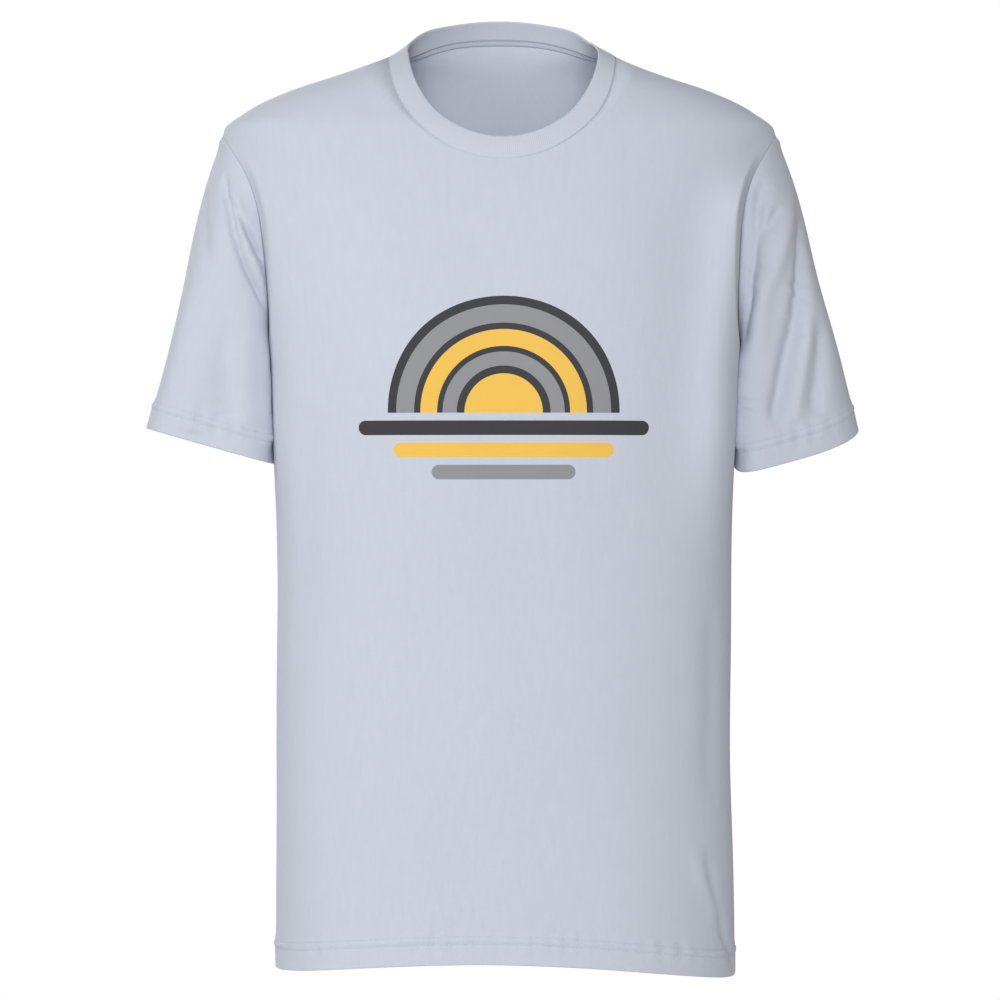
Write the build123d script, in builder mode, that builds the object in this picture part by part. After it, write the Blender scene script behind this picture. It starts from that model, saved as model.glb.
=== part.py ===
"""Short-sleeved crew-neck T-shirt, in the shape it has on a wearer's shoulders.

Six cloth pieces, as they are cut and sewn: a front and a back panel, two set-in
sleeves, a ribbed neckband and a tape over the back neck seam. Each wall is one
layer of jersey, doubled where a hem is turned up inside.

Frame: the origin is midway between the two high shoulder points, where the neckband
meets the shoulder. +Z is up, -Y is the front and +X is the wearer's left. Millimetres.
"""

import os
from enum import Enum
from math import copysign, cos, pi, radians, sin

from build123d import *

# Cloth
JERSEY = 0.8  # one layer of single jersey
RIB = 1.8  # the neckband, two layers of rib
RIB_PROUD = 0.5  # the neckband's outer face stands this far out of the jersey
TAPE = 0.7
LAYER_GAP = 0.2  # room between two cloths that lie face to face on a curve

# Body: half widths, and depths to the front and back of the side seam
BODY_LENGTH = 729.0  # high shoulder point down to the hem at a side seam
HEM_RISE = 16.0  # the hem is this much higher at the centre than at the side seams
HEM_TURN = 22.0  # height of a turned hem
HEM_HALF_WIDTH = 184.0
HEM_FRONT = 117.0
HEM_BACK = 110.0
WAIST_DROP = 460.0
WAIST_HALF_WIDTH = 179.0
WAIST_FRONT = 115.0
WAIST_BACK = 107.0
CHEST_DROP = 265.0
CHEST_HALF_WIDTH = 184.0
CHEST_FRONT = 124.0
CHEST_BACK = 106.0
BLADE_DROP = 150.0  # height of the shoulder blades
BLADE_HALF_WIDTH = 201.0
BLADE_FRONT = 114.0
BLADE_BACK = 110.0
SQUARENESS = 2.6  # exponent of the level sections: 2 is an ellipse

# Shoulders and neck
SHOULDER_HALF_WIDTH = 218.0
SHOULDER_DROP = 60.0
SHOULDER_FRONT = 88.0
SHOULDER_BACK = 98.0
NECK_HALF_WIDTH = 89.0  # at the neckband's seam
NECK_FRONT = 58.0
NECK_BACK = 74.0
FRONT_NECK_DROP = 91.0  # to the neckband's seam
BACK_NECK_RISE = 25.0
COLLAR_WIDTH = 15.0
COLLAR_LEAN = 35.0  # degrees that the neckband rises above level at the shoulder
COLLAR_RISE = COLLAR_WIDTH * sin(radians(COLLAR_LEAN))
COLLAR_IN = COLLAR_WIDTH * cos(radians(COLLAR_LEAN))
COLLAR_TAPER = 3.0  # the neck draws in this much over the neckband, front and back
NECK_STAND = 40.0  # the body form goes on this far above the neckband
NECK_STAND_TAPER = 10.0
TAPE_WIDTH = 9.0

# Sleeves, as seen from the front
SLEEVE_LENGTH = 247.0  # shoulder tip to hem
SLEEVE_SLOPE = 15.3  # degrees that the outer edge stands off the vertical
SLEEVE_HEM_WIDTH = 102.0
SLEEVE_HEM_TILT = 16.0  # degrees that the hem falls towards the body
SLEEVE_HEM_HALF_DEPTH = 62.0
UNDERARM_DROP = 240.0
UNDERARM_HALF_DEPTH = 66.0
UNDERARM_CLEAR = 3.0  # below the underarm the sleeve stands this far off the body
UNDERARM_TILT = 15.0  # the section at the underarm is this much higher on the outer side
CAP_FULLNESS = 4.5  # the sleeve head's outer edge bows out this far, a third of the way down
CAP_TOP_HALF_DEPTH = 36.0
CAP_FULL_SHARE = 0.62  # the head is at its full depth this share of the way down it
CUFF_SHARES = (0.0, 0.5)  # sections below the underarm, from the hem up
CAP_SHARES = (1.0, 0.8, 0.6, 0.42, 0.28, 0.16, 0.06)  # sections of the head, from the underarm up

# The sleeve form closes inside the body, where it only cuts the armhole
CLOSE_REACH = 66.0  # in from the shoulder tip, to the inner end of the closing section
CLOSE_DROP = 16.0
CLOSE_IN = 26.0  # in from the shoulder tip, to its outer end
CLOSE_RISE = 15.0
CLOSE_HALF_DEPTH = 20.0

# Shares of the way from the neck to the shoulder tip: down, and out along the slope
SHOULDER_LINE = ((0.25, 0.29), (0.5, 0.64), (0.75, 0.875))

# Sections drawn in each span of the body, from the hem up
BODY_SPANS = (3, 3, 2, 3, 2, 1, 1, 1, 1, 1)
HALF_STEPS = 12
NECK_FORM_STATION = 3  # walls for the neck alone start at the shoulder blades
HEM_FORM_TOP = 150.0  # the form of a turned hem is drawn up to here above the hem
FAR = 400.0  # reach of the cutting prisms, past every piece


class Side(Enum):
    """Which half of the body a panel covers."""

    FRONT = "front"
    BACK = "back"


def between(low, high, share):
    """The value that lies this share of the way from low to high."""
    return low + (high - low) * share


def torso_stations():
    """Level sections that shape the body: height, half width, front and back depth."""
    shoulder = [
        (
            -SHOULDER_DROP * down,
            between(NECK_HALF_WIDTH, SHOULDER_HALF_WIDTH, out),
            between(NECK_FRONT, SHOULDER_FRONT, down),
            between(NECK_BACK, SHOULDER_BACK, down),
        )
        for down, out in reversed(SHOULDER_LINE)
    ]
    edge_half_width = NECK_HALF_WIDTH - COLLAR_IN
    return [
        (-BODY_LENGTH - HEM_TURN, HEM_HALF_WIDTH, HEM_FRONT, HEM_BACK),
        (-WAIST_DROP, WAIST_HALF_WIDTH, WAIST_FRONT, WAIST_BACK),
        (-CHEST_DROP, CHEST_HALF_WIDTH, CHEST_FRONT, CHEST_BACK),
        (-BLADE_DROP, BLADE_HALF_WIDTH, BLADE_FRONT, BLADE_BACK),
        (-SHOULDER_DROP, SHOULDER_HALF_WIDTH, SHOULDER_FRONT, SHOULDER_BACK),
        *shoulder,
        (0.0, NECK_HALF_WIDTH, NECK_FRONT, NECK_BACK),
        (COLLAR_RISE, edge_half_width, NECK_FRONT - COLLAR_TAPER, NECK_BACK - COLLAR_TAPER),
        (
            COLLAR_RISE + NECK_STAND,
            edge_half_width - NECK_STAND_TAPER,
            NECK_FRONT - COLLAR_TAPER - NECK_STAND_TAPER,
            NECK_BACK - COLLAR_TAPER - NECK_STAND_TAPER,
        ),
    ]


def slope_at(stations, place, size):
    """Rate at which a size changes with height at a station, with no overshoot."""
    rates = [
        (high[size] - low[size]) / (high[0] - low[0])
        for low, high in zip(stations, stations[1:])
    ]
    if place == 0:
        return rates[0]
    if place == len(rates):
        return rates[-1]
    below, above = rates[place - 1], rates[place]
    return 0.0 if below * above <= 0 else 2 * below * above / (below + above)


def torso_at(height):
    """Half width, front depth and back depth of the body at a height."""
    stations = torso_stations()
    place = sum(height > station[0] for station in stations[1:-1])
    low, high = stations[place], stations[place + 1]
    span = high[0] - low[0]
    t = (height - low[0]) / span
    sizes = []
    for size in (1, 2, 3):
        start = slope_at(stations, place, size) * span
        end = slope_at(stations, place + 1, size) * span
        sizes.append(
            (2 * t**3 - 3 * t**2 + 1) * low[size]
            + (t**3 - 2 * t**2 + t) * start
            + (3 * t**2 - 2 * t**3) * high[size]
            + (t**3 - t**2) * end
        )
    return sizes


def torso_heights(lowest=0):
    """Heights of the sections, from a station up."""
    stations = torso_stations()
    heights = [stations[lowest][0]]
    for place in range(lowest, len(stations) - 1):
        low, high = stations[place][0], stations[place + 1][0]
        steps = BODY_SPANS[place]
        heights += [between(low, high, step / steps) for step in range(1, steps + 1)]
    return heights


def round_section(half_width, depth, angle):
    """The point at an angle on a superellipse of the body's squareness."""
    power = 2 / SQUARENESS
    return (
        half_width * copysign(abs(cos(angle)) ** power, cos(angle)),
        depth * copysign(abs(sin(angle)) ** power, sin(angle)),
    )


def half_section(height, inset, side):
    """Points round the front or back half of a section drawn in by inset."""
    half_width, front, back = torso_at(height + inset)
    depth = back - inset if side is Side.BACK else front - inset
    turn = pi if side is Side.BACK else -pi
    return [
        round_section(half_width - inset, depth, turn * step / HALF_STEPS)
        for step in range(HALF_STEPS + 1)
    ]


def panel_shell(side, outer, inner, heights):
    """One half of the body as a wall between two insets, open at the seams' plane."""
    with BuildPart() as shell:
        for height in heights:
            with BuildSketch(Plane.XY.offset(height)):
                with BuildLine():
                    outside = Spline(*half_section(height, outer, side))
                    inside = Spline(*half_section(height, inner, side))
                    Line(outside @ 0, inside @ 0)
                    Line(outside @ 1, inside @ 1)
                make_face()
        loft(ruled=True)
    return shell.part


def torso_form(inset):
    """The body as a solid form, drawn in by inset."""
    with BuildPart() as form:
        for height in torso_heights():
            with BuildSketch(Plane.XY.offset(height)):
                with BuildLine():
                    Spline(*half_section(height, inset, Side.BACK))
                    Spline(*half_section(height, inset, Side.FRONT))
                make_face()
        loft(ruled=True)
    return form.part


def sleeve_stations():
    """Lines across the wearer's left sleeve: outer end, inner end and half depth."""
    slope, tilt = radians(SLEEVE_SLOPE), radians(SLEEVE_HEM_TILT)
    tip = Vector(SHOULDER_HALF_WIDTH, 0, -SHOULDER_DROP)
    hem_outer = tip + Vector(sin(slope), 0, -cos(slope)) * SLEEVE_LENGTH
    hem_inner = hem_outer - Vector(cos(tilt), 0, sin(tilt)) * SLEEVE_HEM_WIDTH
    share = (UNDERARM_DROP - SHOULDER_DROP - UNDERARM_TILT) / (SLEEVE_LENGTH * cos(slope))
    underarm_outer = tip + (hem_outer - tip) * share
    underarm_inner = Vector(CHEST_HALF_WIDTH + UNDERARM_CLEAR, 0, -UNDERARM_DROP)
    close_outer = tip + Vector(-CLOSE_IN, 0, CLOSE_RISE)
    close_inner = tip + Vector(-CLOSE_REACH, 0, -CLOSE_DROP)
    stations = [
        (
            between(hem_outer, underarm_outer, t),
            between(hem_inner, underarm_inner, t),
            between(SLEEVE_HEM_HALF_DEPTH, UNDERARM_HALF_DEPTH, t),
        )
        for t in CUFF_SHARES
    ]
    for t in CAP_SHARES:
        bow = Vector(27 / 4 * t * (1 - t) ** 2 * CAP_FULLNESS, 0, 0)
        filled = sin(min(1.0, t / CAP_FULL_SHARE) * pi / 2)
        stations.append(
            (
                tip + (underarm_outer - tip) * t + bow,
                close_inner + (underarm_inner - close_inner) * t,
                between(CAP_TOP_HALF_DEPTH, UNDERARM_HALF_DEPTH, filled),
            )
        )
    stations.append((close_outer, close_inner, CLOSE_HALF_DEPTH))
    return stations


def across(outer, inner):
    """The plane of a line across the sleeve, with its X along the line."""
    run = outer - inner
    return Plane((outer + inner) / 2, x_dir=run, z_dir=(-run.Z, 0, run.X))


def sleeve_form(inset):
    """The wearer's left sleeve as a solid form, drawn in by inset."""
    with BuildPart() as form:
        for outer, inner, half_depth in sleeve_stations():
            half_width = (outer - inner).length / 2
            with BuildSketch(across(outer, inner).offset(-inset)):
                Ellipse(half_width - inset, half_depth - inset)
        loft(ruled=True)
    return form.part


def front_neck_cut(half_width, side, drop):
    """All above a front neckline, half an ellipse that meets the shoulder ridge at side."""
    with BuildPart() as cut:
        with BuildSketch(Plane.XZ):
            with Locations((0, side)):
                Rectangle(2 * FAR, FAR, align=(Align.CENTER, Align.MIN))
                Ellipse(half_width, drop)
        extrude(amount=FAR, both=True)
    return cut.part


def back_neck_cut(side, rise):
    """All above a back neckline, an arc in side view that leaves the shoulder ridge at side."""
    with BuildPart() as cut:
        with BuildSketch(Plane.YZ):
            with BuildLine():
                arc = TangentArc((0, side), (NECK_BACK, side + rise), tangent=(1, 0))
                Polyline(
                    arc @ 1, (FAR, side + rise), (FAR, FAR), (-FAR, FAR), (-FAR, side), arc @ 0
                )
            make_face()
        extrude(amount=FAR, both=True)
    return cut.part


def below_hem(lift):
    """All below the hem's line, which is raised by lift."""
    side = lift - BODY_LENGTH
    with BuildPart() as cut:
        with BuildSketch(Plane.XZ):
            with BuildLine():
                hem = ThreePointArc(
                    (-HEM_HALF_WIDTH, side), (0, side + HEM_RISE), (HEM_HALF_WIDTH, side)
                )
                Polyline(
                    hem @ 1, (FAR, side), (FAR, side - FAR), (-FAR, side - FAR), (-FAR, side), hem @ 0
                )
            make_face()
        extrude(amount=FAR, both=True)
    return cut.part


def body_panel(side, neck_seam, label):
    """A front or back panel: a wall of jersey with its hem turned up inside."""
    hem_heights = [height for height in torso_heights() if height < HEM_FORM_TOP - BODY_LENGTH]
    with BuildPart() as turned:
        add(panel_shell(side, JERSEY / 2, 2 * JERSEY, hem_heights))
        add(below_hem(HEM_TURN), mode=Mode.INTERSECT)
    with BuildPart() as panel:
        add(panel_shell(side, 0, JERSEY, torso_heights()))
        add(turned.part)
        add(below_hem(0), mode=Mode.SUBTRACT)
        add(neck_seam, mode=Mode.SUBTRACT)
        add(arm_room, mode=Mode.SUBTRACT)
        add(arm_room.mirror(Plane.YZ), mode=Mode.SUBTRACT)
    panel.part.label = label
    return panel


def sleeve_above_hem(inset):
    """The sleeve form without its turned hem."""
    outer, inner, _ = sleeve_stations()[0]
    with BuildPart() as form:
        add(sleeve_form(inset))
        split(bisect_by=across(outer, inner).offset(HEM_TURN), keep=Keep.TOP)
    return form.part


# Shapes that cut the pieces to their seams
body_form = torso_form(-LAYER_GAP)
arm_room = sleeve_form(JERSEY)
front_seam = front_neck_cut(NECK_HALF_WIDTH, 0, FRONT_NECK_DROP)
back_seam = back_neck_cut(0, BACK_NECK_RISE)

# Body: two panels that meet at the shoulder and side seams
body_front = body_panel(Side.FRONT, front_seam, "body_front")
body_back = body_panel(Side.BACK, back_seam, "body_back")

# Sleeves: a tube doubled at its hem, set on to the body's armhole
with BuildPart() as sleeve_left:
    add(sleeve_form(0))
    add(sleeve_form(2 * JERSEY), mode=Mode.SUBTRACT)
    add(sleeve_above_hem(JERSEY), mode=Mode.SUBTRACT)
    add(body_form, mode=Mode.SUBTRACT)
sleeve_left.part.label = "sleeve_left"

with BuildPart() as sleeve_right:
    add(sleeve_left.part.mirror(Plane.YZ))
sleeve_right.part.label = "sleeve_right"

# Neckband: a ring of rib round the neckline, edge to edge with the panels
neck_heights = torso_heights(NECK_FORM_STATION)

with BuildPart() as rib_front:
    add(panel_shell(Side.FRONT, -RIB_PROUD, RIB - RIB_PROUD, neck_heights))
    add(front_seam, mode=Mode.INTERSECT)
    front_edge_drop = FRONT_NECK_DROP - COLLAR_WIDTH + COLLAR_RISE
    add(front_neck_cut(NECK_HALF_WIDTH - COLLAR_IN, COLLAR_RISE, front_edge_drop), mode=Mode.SUBTRACT)

with BuildPart() as rib_back:
    add(panel_shell(Side.BACK, -RIB_PROUD, RIB - RIB_PROUD, neck_heights))
    add(back_seam, mode=Mode.INTERSECT)
    add(back_neck_cut(COLLAR_RISE, BACK_NECK_RISE + COLLAR_WIDTH - COLLAR_RISE), mode=Mode.SUBTRACT)

with BuildPart() as neck_rib:
    add(rib_front.part)
    add(rib_back.part)
neck_rib.part.label = "neck_rib"

# Tape: lies on the inside of the back panel, along the neckband's seam
with BuildPart() as tape_band:
    with BuildSketch(Plane.YZ):
        with BuildLine():
            top = TangentArc((0, 0), (NECK_BACK, BACK_NECK_RISE), tangent=(1, 0))
            low = TangentArc((0, -TAPE_WIDTH), (NECK_BACK, BACK_NECK_RISE - TAPE_WIDTH), tangent=(1, 0))
            Line(top @ 0, low @ 0)
            Line(top @ 1, low @ 1)
        make_face()
    extrude(amount=FAR, both=True)

with BuildPart() as neck_tape:
    add(panel_shell(Side.BACK, JERSEY + LAYER_GAP, JERSEY + LAYER_GAP + TAPE, neck_heights))
    add(tape_band.part, mode=Mode.INTERSECT)
neck_tape.part.label = "neck_tape"

os.makedirs("parts", exist_ok=True)
for piece in (body_front, body_back, sleeve_left, sleeve_right, neck_rib, neck_tape):
    export_step(piece.part, f"parts/{piece.part.label}.step")
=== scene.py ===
"""Dresses the T-shirt: knitted panels with their folds, neckband, tape, stitching and chest print.

Everything is in metres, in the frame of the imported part: +Z up, -Y the front, +X the wearer's left.
"""

import logging
from dataclasses import dataclass
from dataclasses import field
from enum import Enum
from functools import cached_property
from math import cos
from math import pi
from math import radians
from math import sin

import bmesh
import bpy
import numpy as np
from mathutils import Matrix
from mathutils import Vector


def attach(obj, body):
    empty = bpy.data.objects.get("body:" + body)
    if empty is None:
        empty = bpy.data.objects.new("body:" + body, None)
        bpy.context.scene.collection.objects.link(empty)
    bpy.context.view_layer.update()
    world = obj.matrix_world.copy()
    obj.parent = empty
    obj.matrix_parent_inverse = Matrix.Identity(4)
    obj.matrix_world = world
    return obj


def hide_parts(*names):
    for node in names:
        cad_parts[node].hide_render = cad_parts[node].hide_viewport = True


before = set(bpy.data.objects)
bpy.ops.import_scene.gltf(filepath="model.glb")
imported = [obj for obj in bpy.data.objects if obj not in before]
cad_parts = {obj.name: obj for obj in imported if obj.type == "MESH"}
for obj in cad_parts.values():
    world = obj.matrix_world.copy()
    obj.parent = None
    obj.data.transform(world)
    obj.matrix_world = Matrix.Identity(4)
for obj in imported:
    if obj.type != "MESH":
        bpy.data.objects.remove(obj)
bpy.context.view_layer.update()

logging.basicConfig(level=logging.INFO, format="%(message)s")
log = logging.getLogger("t-shirt")

MM = 0.001
TINY = 1e-12
JOIN_DISTANCE = 1e-7
LINE_POINTS = 400
BODY = "root"

# The studio's camera stands level with the middle of the shirt, straight in front of it
CAMERA_PLACE = (-0.0028, -3.0, -0.356)
CAMERA_LENS = 135.0
CAMERA_SENSOR = 36.0

# How the hung shirt departs from its even form: the shoulders sit to the wearer's right of the
# body and settle a little, and the hem swings to the left. Each fades out between two heights.
SHOULDER_SHIFT = -0.0035
SHOULDER_SHIFT_SPAN = (-0.250, -0.040)
NECK_SPAN = (0.070, 0.130)
COLLAR_SPAN = (-0.005, 0.020)
HEM_SHIFT = 0.0020
HEM_SHIFT_SPAN = (-0.550, -0.700)
SETTLE = 0.0023
SETTLE_SPAN = (-0.075, -0.045)
SETTLE_END_SPAN = (0.022, 0.002)


class Side(Enum):
    """Which half of the shirt a panel or a fold is on."""

    FRONT = -1
    BACK = 1


class Hand(Enum):
    """Which of the wearer's arms a sleeve is for: the sign of its X."""

    LEFT = 1
    RIGHT = -1


def linear(code: str) -> tuple[float, float, float, float]:
    """Turns an sRGB hex colour into linear red, green, blue and alpha.

    Args:
        code: six hex digits, with or without a leading hash.

    Returns:
        The linear colour, with an alpha of 1.
    """
    digits = code.lstrip("#")
    parts = [int(digits[place : place + 2], 16) / 255 for place in (0, 2, 4)]
    red, green, blue = [c / 12.92 if c <= 0.04045 else ((c + 0.055) / 1.055) ** 2.4 for c in parts]
    return (red, green, blue, 1.0)


def smooth_step(value: np.ndarray) -> np.ndarray:
    """Eases a value from 0 to 1 and holds it at either end."""
    held = np.clip(value, 0.0, 1.0)
    return held * held * (3.0 - 2.0 * held)


def along(points: np.ndarray, axis: int = 0) -> np.ndarray:
    """Distance along lines of points, from their first ones.

    Args:
        points: a line of points, or rows and columns of them.
        axis: 0 along a line or up the columns, 1 along the rows.

    Returns:
        The distance at each point.
    """
    steps = np.linalg.norm(np.diff(points, axis=axis), axis=-1)
    first = np.zeros_like(steps.take([0], axis=axis))
    return np.concatenate([first, np.cumsum(steps, axis=axis)], axis=axis)


def square_reach(angle: np.ndarray, power: float) -> np.ndarray:
    """How far a squarish ring reaches at some angles, as a share of a circle's reach."""
    return (np.abs(np.cos(angle)) ** power + np.abs(np.sin(angle)) ** power) ** (-1 / power)


def respaced(values: np.ndarray, points: np.ndarray, shares: np.ndarray) -> np.ndarray:
    """Takes values off a line at shares of its length.

    Args:
        values: one row for each point of the line.
        points: the line's points in space.
        shares: shares of the length, from 0 to 1.

    Returns:
        One row of values for each share.
    """
    length = along(points)
    wanted = shares * length[-1]
    return np.stack([np.interp(wanted, length, column) for column in values.T], axis=-1)


def seen_from_front(points: np.ndarray) -> np.ndarray:
    """Where points appear from the camera, as X and Z on the plane of the side seams."""
    eye = np.array(CAMERA_PLACE)
    share = -eye[1] / (points[..., 1] - eye[1])
    return eye[[0, 2]] + (points[..., [0, 2]] - eye[[0, 2]]) * share[..., None]


@dataclass(frozen=True)
class Torso:
    """The worn body's form: level sections, each rounder than a box and squarer than an ellipse."""

    body_length: float = 0.729
    hem_rise: float = 0.016
    hem_turn: float = 0.022
    hem_sizes: tuple[float, float, float] = (0.183, 0.117, 0.110)
    waist: tuple[float, float, float, float] = (-0.460, 0.1803, 0.115, 0.107)
    chest: tuple[float, float, float, float] = (-0.265, 0.1850, 0.124, 0.106)
    blade: tuple[float, float, float, float] = (-0.150, 0.201, 0.114, 0.110)
    shoulder: tuple[float, float, float, float] = (-0.060, 0.218, 0.088, 0.098)
    neck: tuple[float, float, float, float] = (0.0, 0.089, 0.058, 0.074)
    shoulder_line: tuple[tuple[float, float], ...] = ((0.75, 0.875), (0.5, 0.64), (0.25, 0.29))
    squareness: float = 2.6
    front_neck_drop: float = 0.091
    back_neck_rise: float = 0.025
    collar_width: float = 0.015
    collar_lean: float = radians(35.0)
    collar_taper: float = 0.003
    neck_stand: float = 0.040
    neck_stand_taper: float = 0.010
    settling_passes: int = 6

    @property
    def collar_rise(self) -> float:
        """How far the neckband's free edge is above its seam, at the shoulder."""
        return self.collar_width * sin(self.collar_lean)

    @property
    def edge_half_width(self) -> float:
        """Half the width of the neckband's free edge."""
        return self.neck[1] - self.collar_width * cos(self.collar_lean)

    @cached_property
    def stations(self) -> np.ndarray:
        """Heights with half width, front depth and back depth, from the hem up."""
        tip = np.array(self.shoulder)
        neck = np.array(self.neck)
        rows = [(-self.body_length - self.hem_turn, *self.hem_sizes), self.waist, self.chest, self.blade]
        rows.append(self.shoulder)
        for down, out in self.shoulder_line:
            row = neck + (tip - neck) * down
            row[1] = neck[1] + (tip[1] - neck[1]) * out
            rows.append(tuple(row))
        taper = self.collar_taper
        rows.append(self.neck)
        rows.append((self.collar_rise, self.edge_half_width, neck[2] - taper, neck[3] - taper))
        taper_above = taper + self.neck_stand_taper
        top = self.collar_rise + self.neck_stand
        top_half_width = self.edge_half_width - self.neck_stand_taper
        rows.append((top, top_half_width, neck[2] - taper_above, neck[3] - taper_above))
        return np.array(rows)

    @cached_property
    def slopes(self) -> np.ndarray:
        """Rate of change of the three sizes at each station, with no overshoot."""
        rows = self.stations
        rates = np.diff(rows[:, 1:], axis=0) / np.diff(rows[:, 0])[:, None]
        below = rates[:-1]
        above = rates[1:]
        same_way = below * above > 0
        inner = np.where(same_way, 2 * below * above / np.where(same_way, below + above, 1.0), 0.0)
        return np.vstack([rates[:1], inner, rates[-1:]])

    def sizes(self, height: np.ndarray) -> np.ndarray:
        """Sizes of the level sections at some heights.

        Args:
            height: any array of heights.

        Returns:
            Half width, front depth and back depth, in a first axis of three.
        """
        rows = self.stations
        place = np.clip(np.searchsorted(rows[:, 0], height) - 1, 0, len(rows) - 2)
        span = rows[place + 1, 0] - rows[place, 0]
        t = ((height - rows[place, 0]) / span)[..., None]
        start = self.slopes[place] * span[..., None]
        end = self.slopes[place + 1] * span[..., None]
        result = (2 * t**3 - 3 * t**2 + 1) * rows[place, 1:] + (t**3 - 2 * t**2 + t) * start
        result = result + (3 * t**2 - 2 * t**3) * rows[place + 1, 1:] + (t**3 - t**2) * end
        return np.moveaxis(result, -1, 0)

    def point(self, angle: np.ndarray, height: np.ndarray, side: Side) -> np.ndarray:
        """Points on the front or back half of the form.

        Args:
            angle: 0 at the wearer's left seam, pi at the right one.
            height: the points' heights.
            side: which half.

        Returns:
            Points in space, in a last axis of three.
        """
        half_width, front, back = self.sizes(height)
        depth = -front if side is Side.FRONT else back
        reach = square_reach(angle, self.squareness)
        x = half_width * reach * np.cos(angle)
        y = depth * reach * np.sin(angle)
        return np.stack([x, y, height + 0 * x], axis=-1)

    def angle_of(self, points: np.ndarray, side: Side) -> np.ndarray:
        """The angle at which points on one half of the form lie."""
        half_width, front, back = self.sizes(points[..., 2])
        depth = front if side is Side.FRONT else back
        return np.arctan2(np.abs(points[..., 1]) / depth, points[..., 0] / half_width)

    def fullness(self, points: np.ndarray) -> np.ndarray:
        """Below 0 inside the form, above 0 outside it."""
        half_width, front, back = self.sizes(points[..., 2])
        depth = np.where(points[..., 1] < 0, front, back)
        across = np.abs(points[..., 0] / half_width) ** self.squareness
        return across + np.abs(points[..., 1] / depth) ** self.squareness - 1

    def front_line(self, share: np.ndarray, rise: float) -> np.ndarray:
        """A front neckline, from the seam at rise 0 to the neckband's free edge at rise 1.

        Args:
            share: 0 at the wearer's right shoulder, 1 at the left one.
            rise: how far across the neckband.

        Returns:
            Points on the form.
        """
        half_width = self.neck[1] + (self.edge_half_width - self.neck[1]) * rise
        top = self.collar_rise * rise
        drop = self.front_neck_drop - (self.collar_width - self.collar_rise) * rise
        turn = pi * (1 - share)
        x = half_width * np.cos(turn)
        z = top - drop * np.sin(turn)
        width, front, _ = self.sizes(z)
        left = np.clip(1 - np.abs(x / width) ** self.squareness, 0.0, 1.0)
        return np.stack([x, -front * left ** (1 / self.squareness), z], axis=-1)

    def back_line(self, share: np.ndarray, rise: float) -> np.ndarray:
        """A back neckline, from the seam at rise 0 to the neckband's free edge at rise 1.

        Args:
            share: 0 at the wearer's right shoulder, 1 at the left one.
            rise: how far across the neckband.

        Returns:
            Points on the form.
        """
        low = self.collar_rise * rise
        climb = self.back_neck_rise + (self.collar_width - self.collar_rise) * rise
        radius = (self.neck[3] ** 2 + climb**2) / (2 * climb)
        z = np.full_like(share, low)
        for _ in range(self.settling_passes):
            points = self.point(pi * (1 - share), z, Side.BACK)
            z = low + radius - np.sqrt(radius**2 - points[:, 1] ** 2)
        return self.point(pi * (1 - share), z, Side.BACK)


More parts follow.
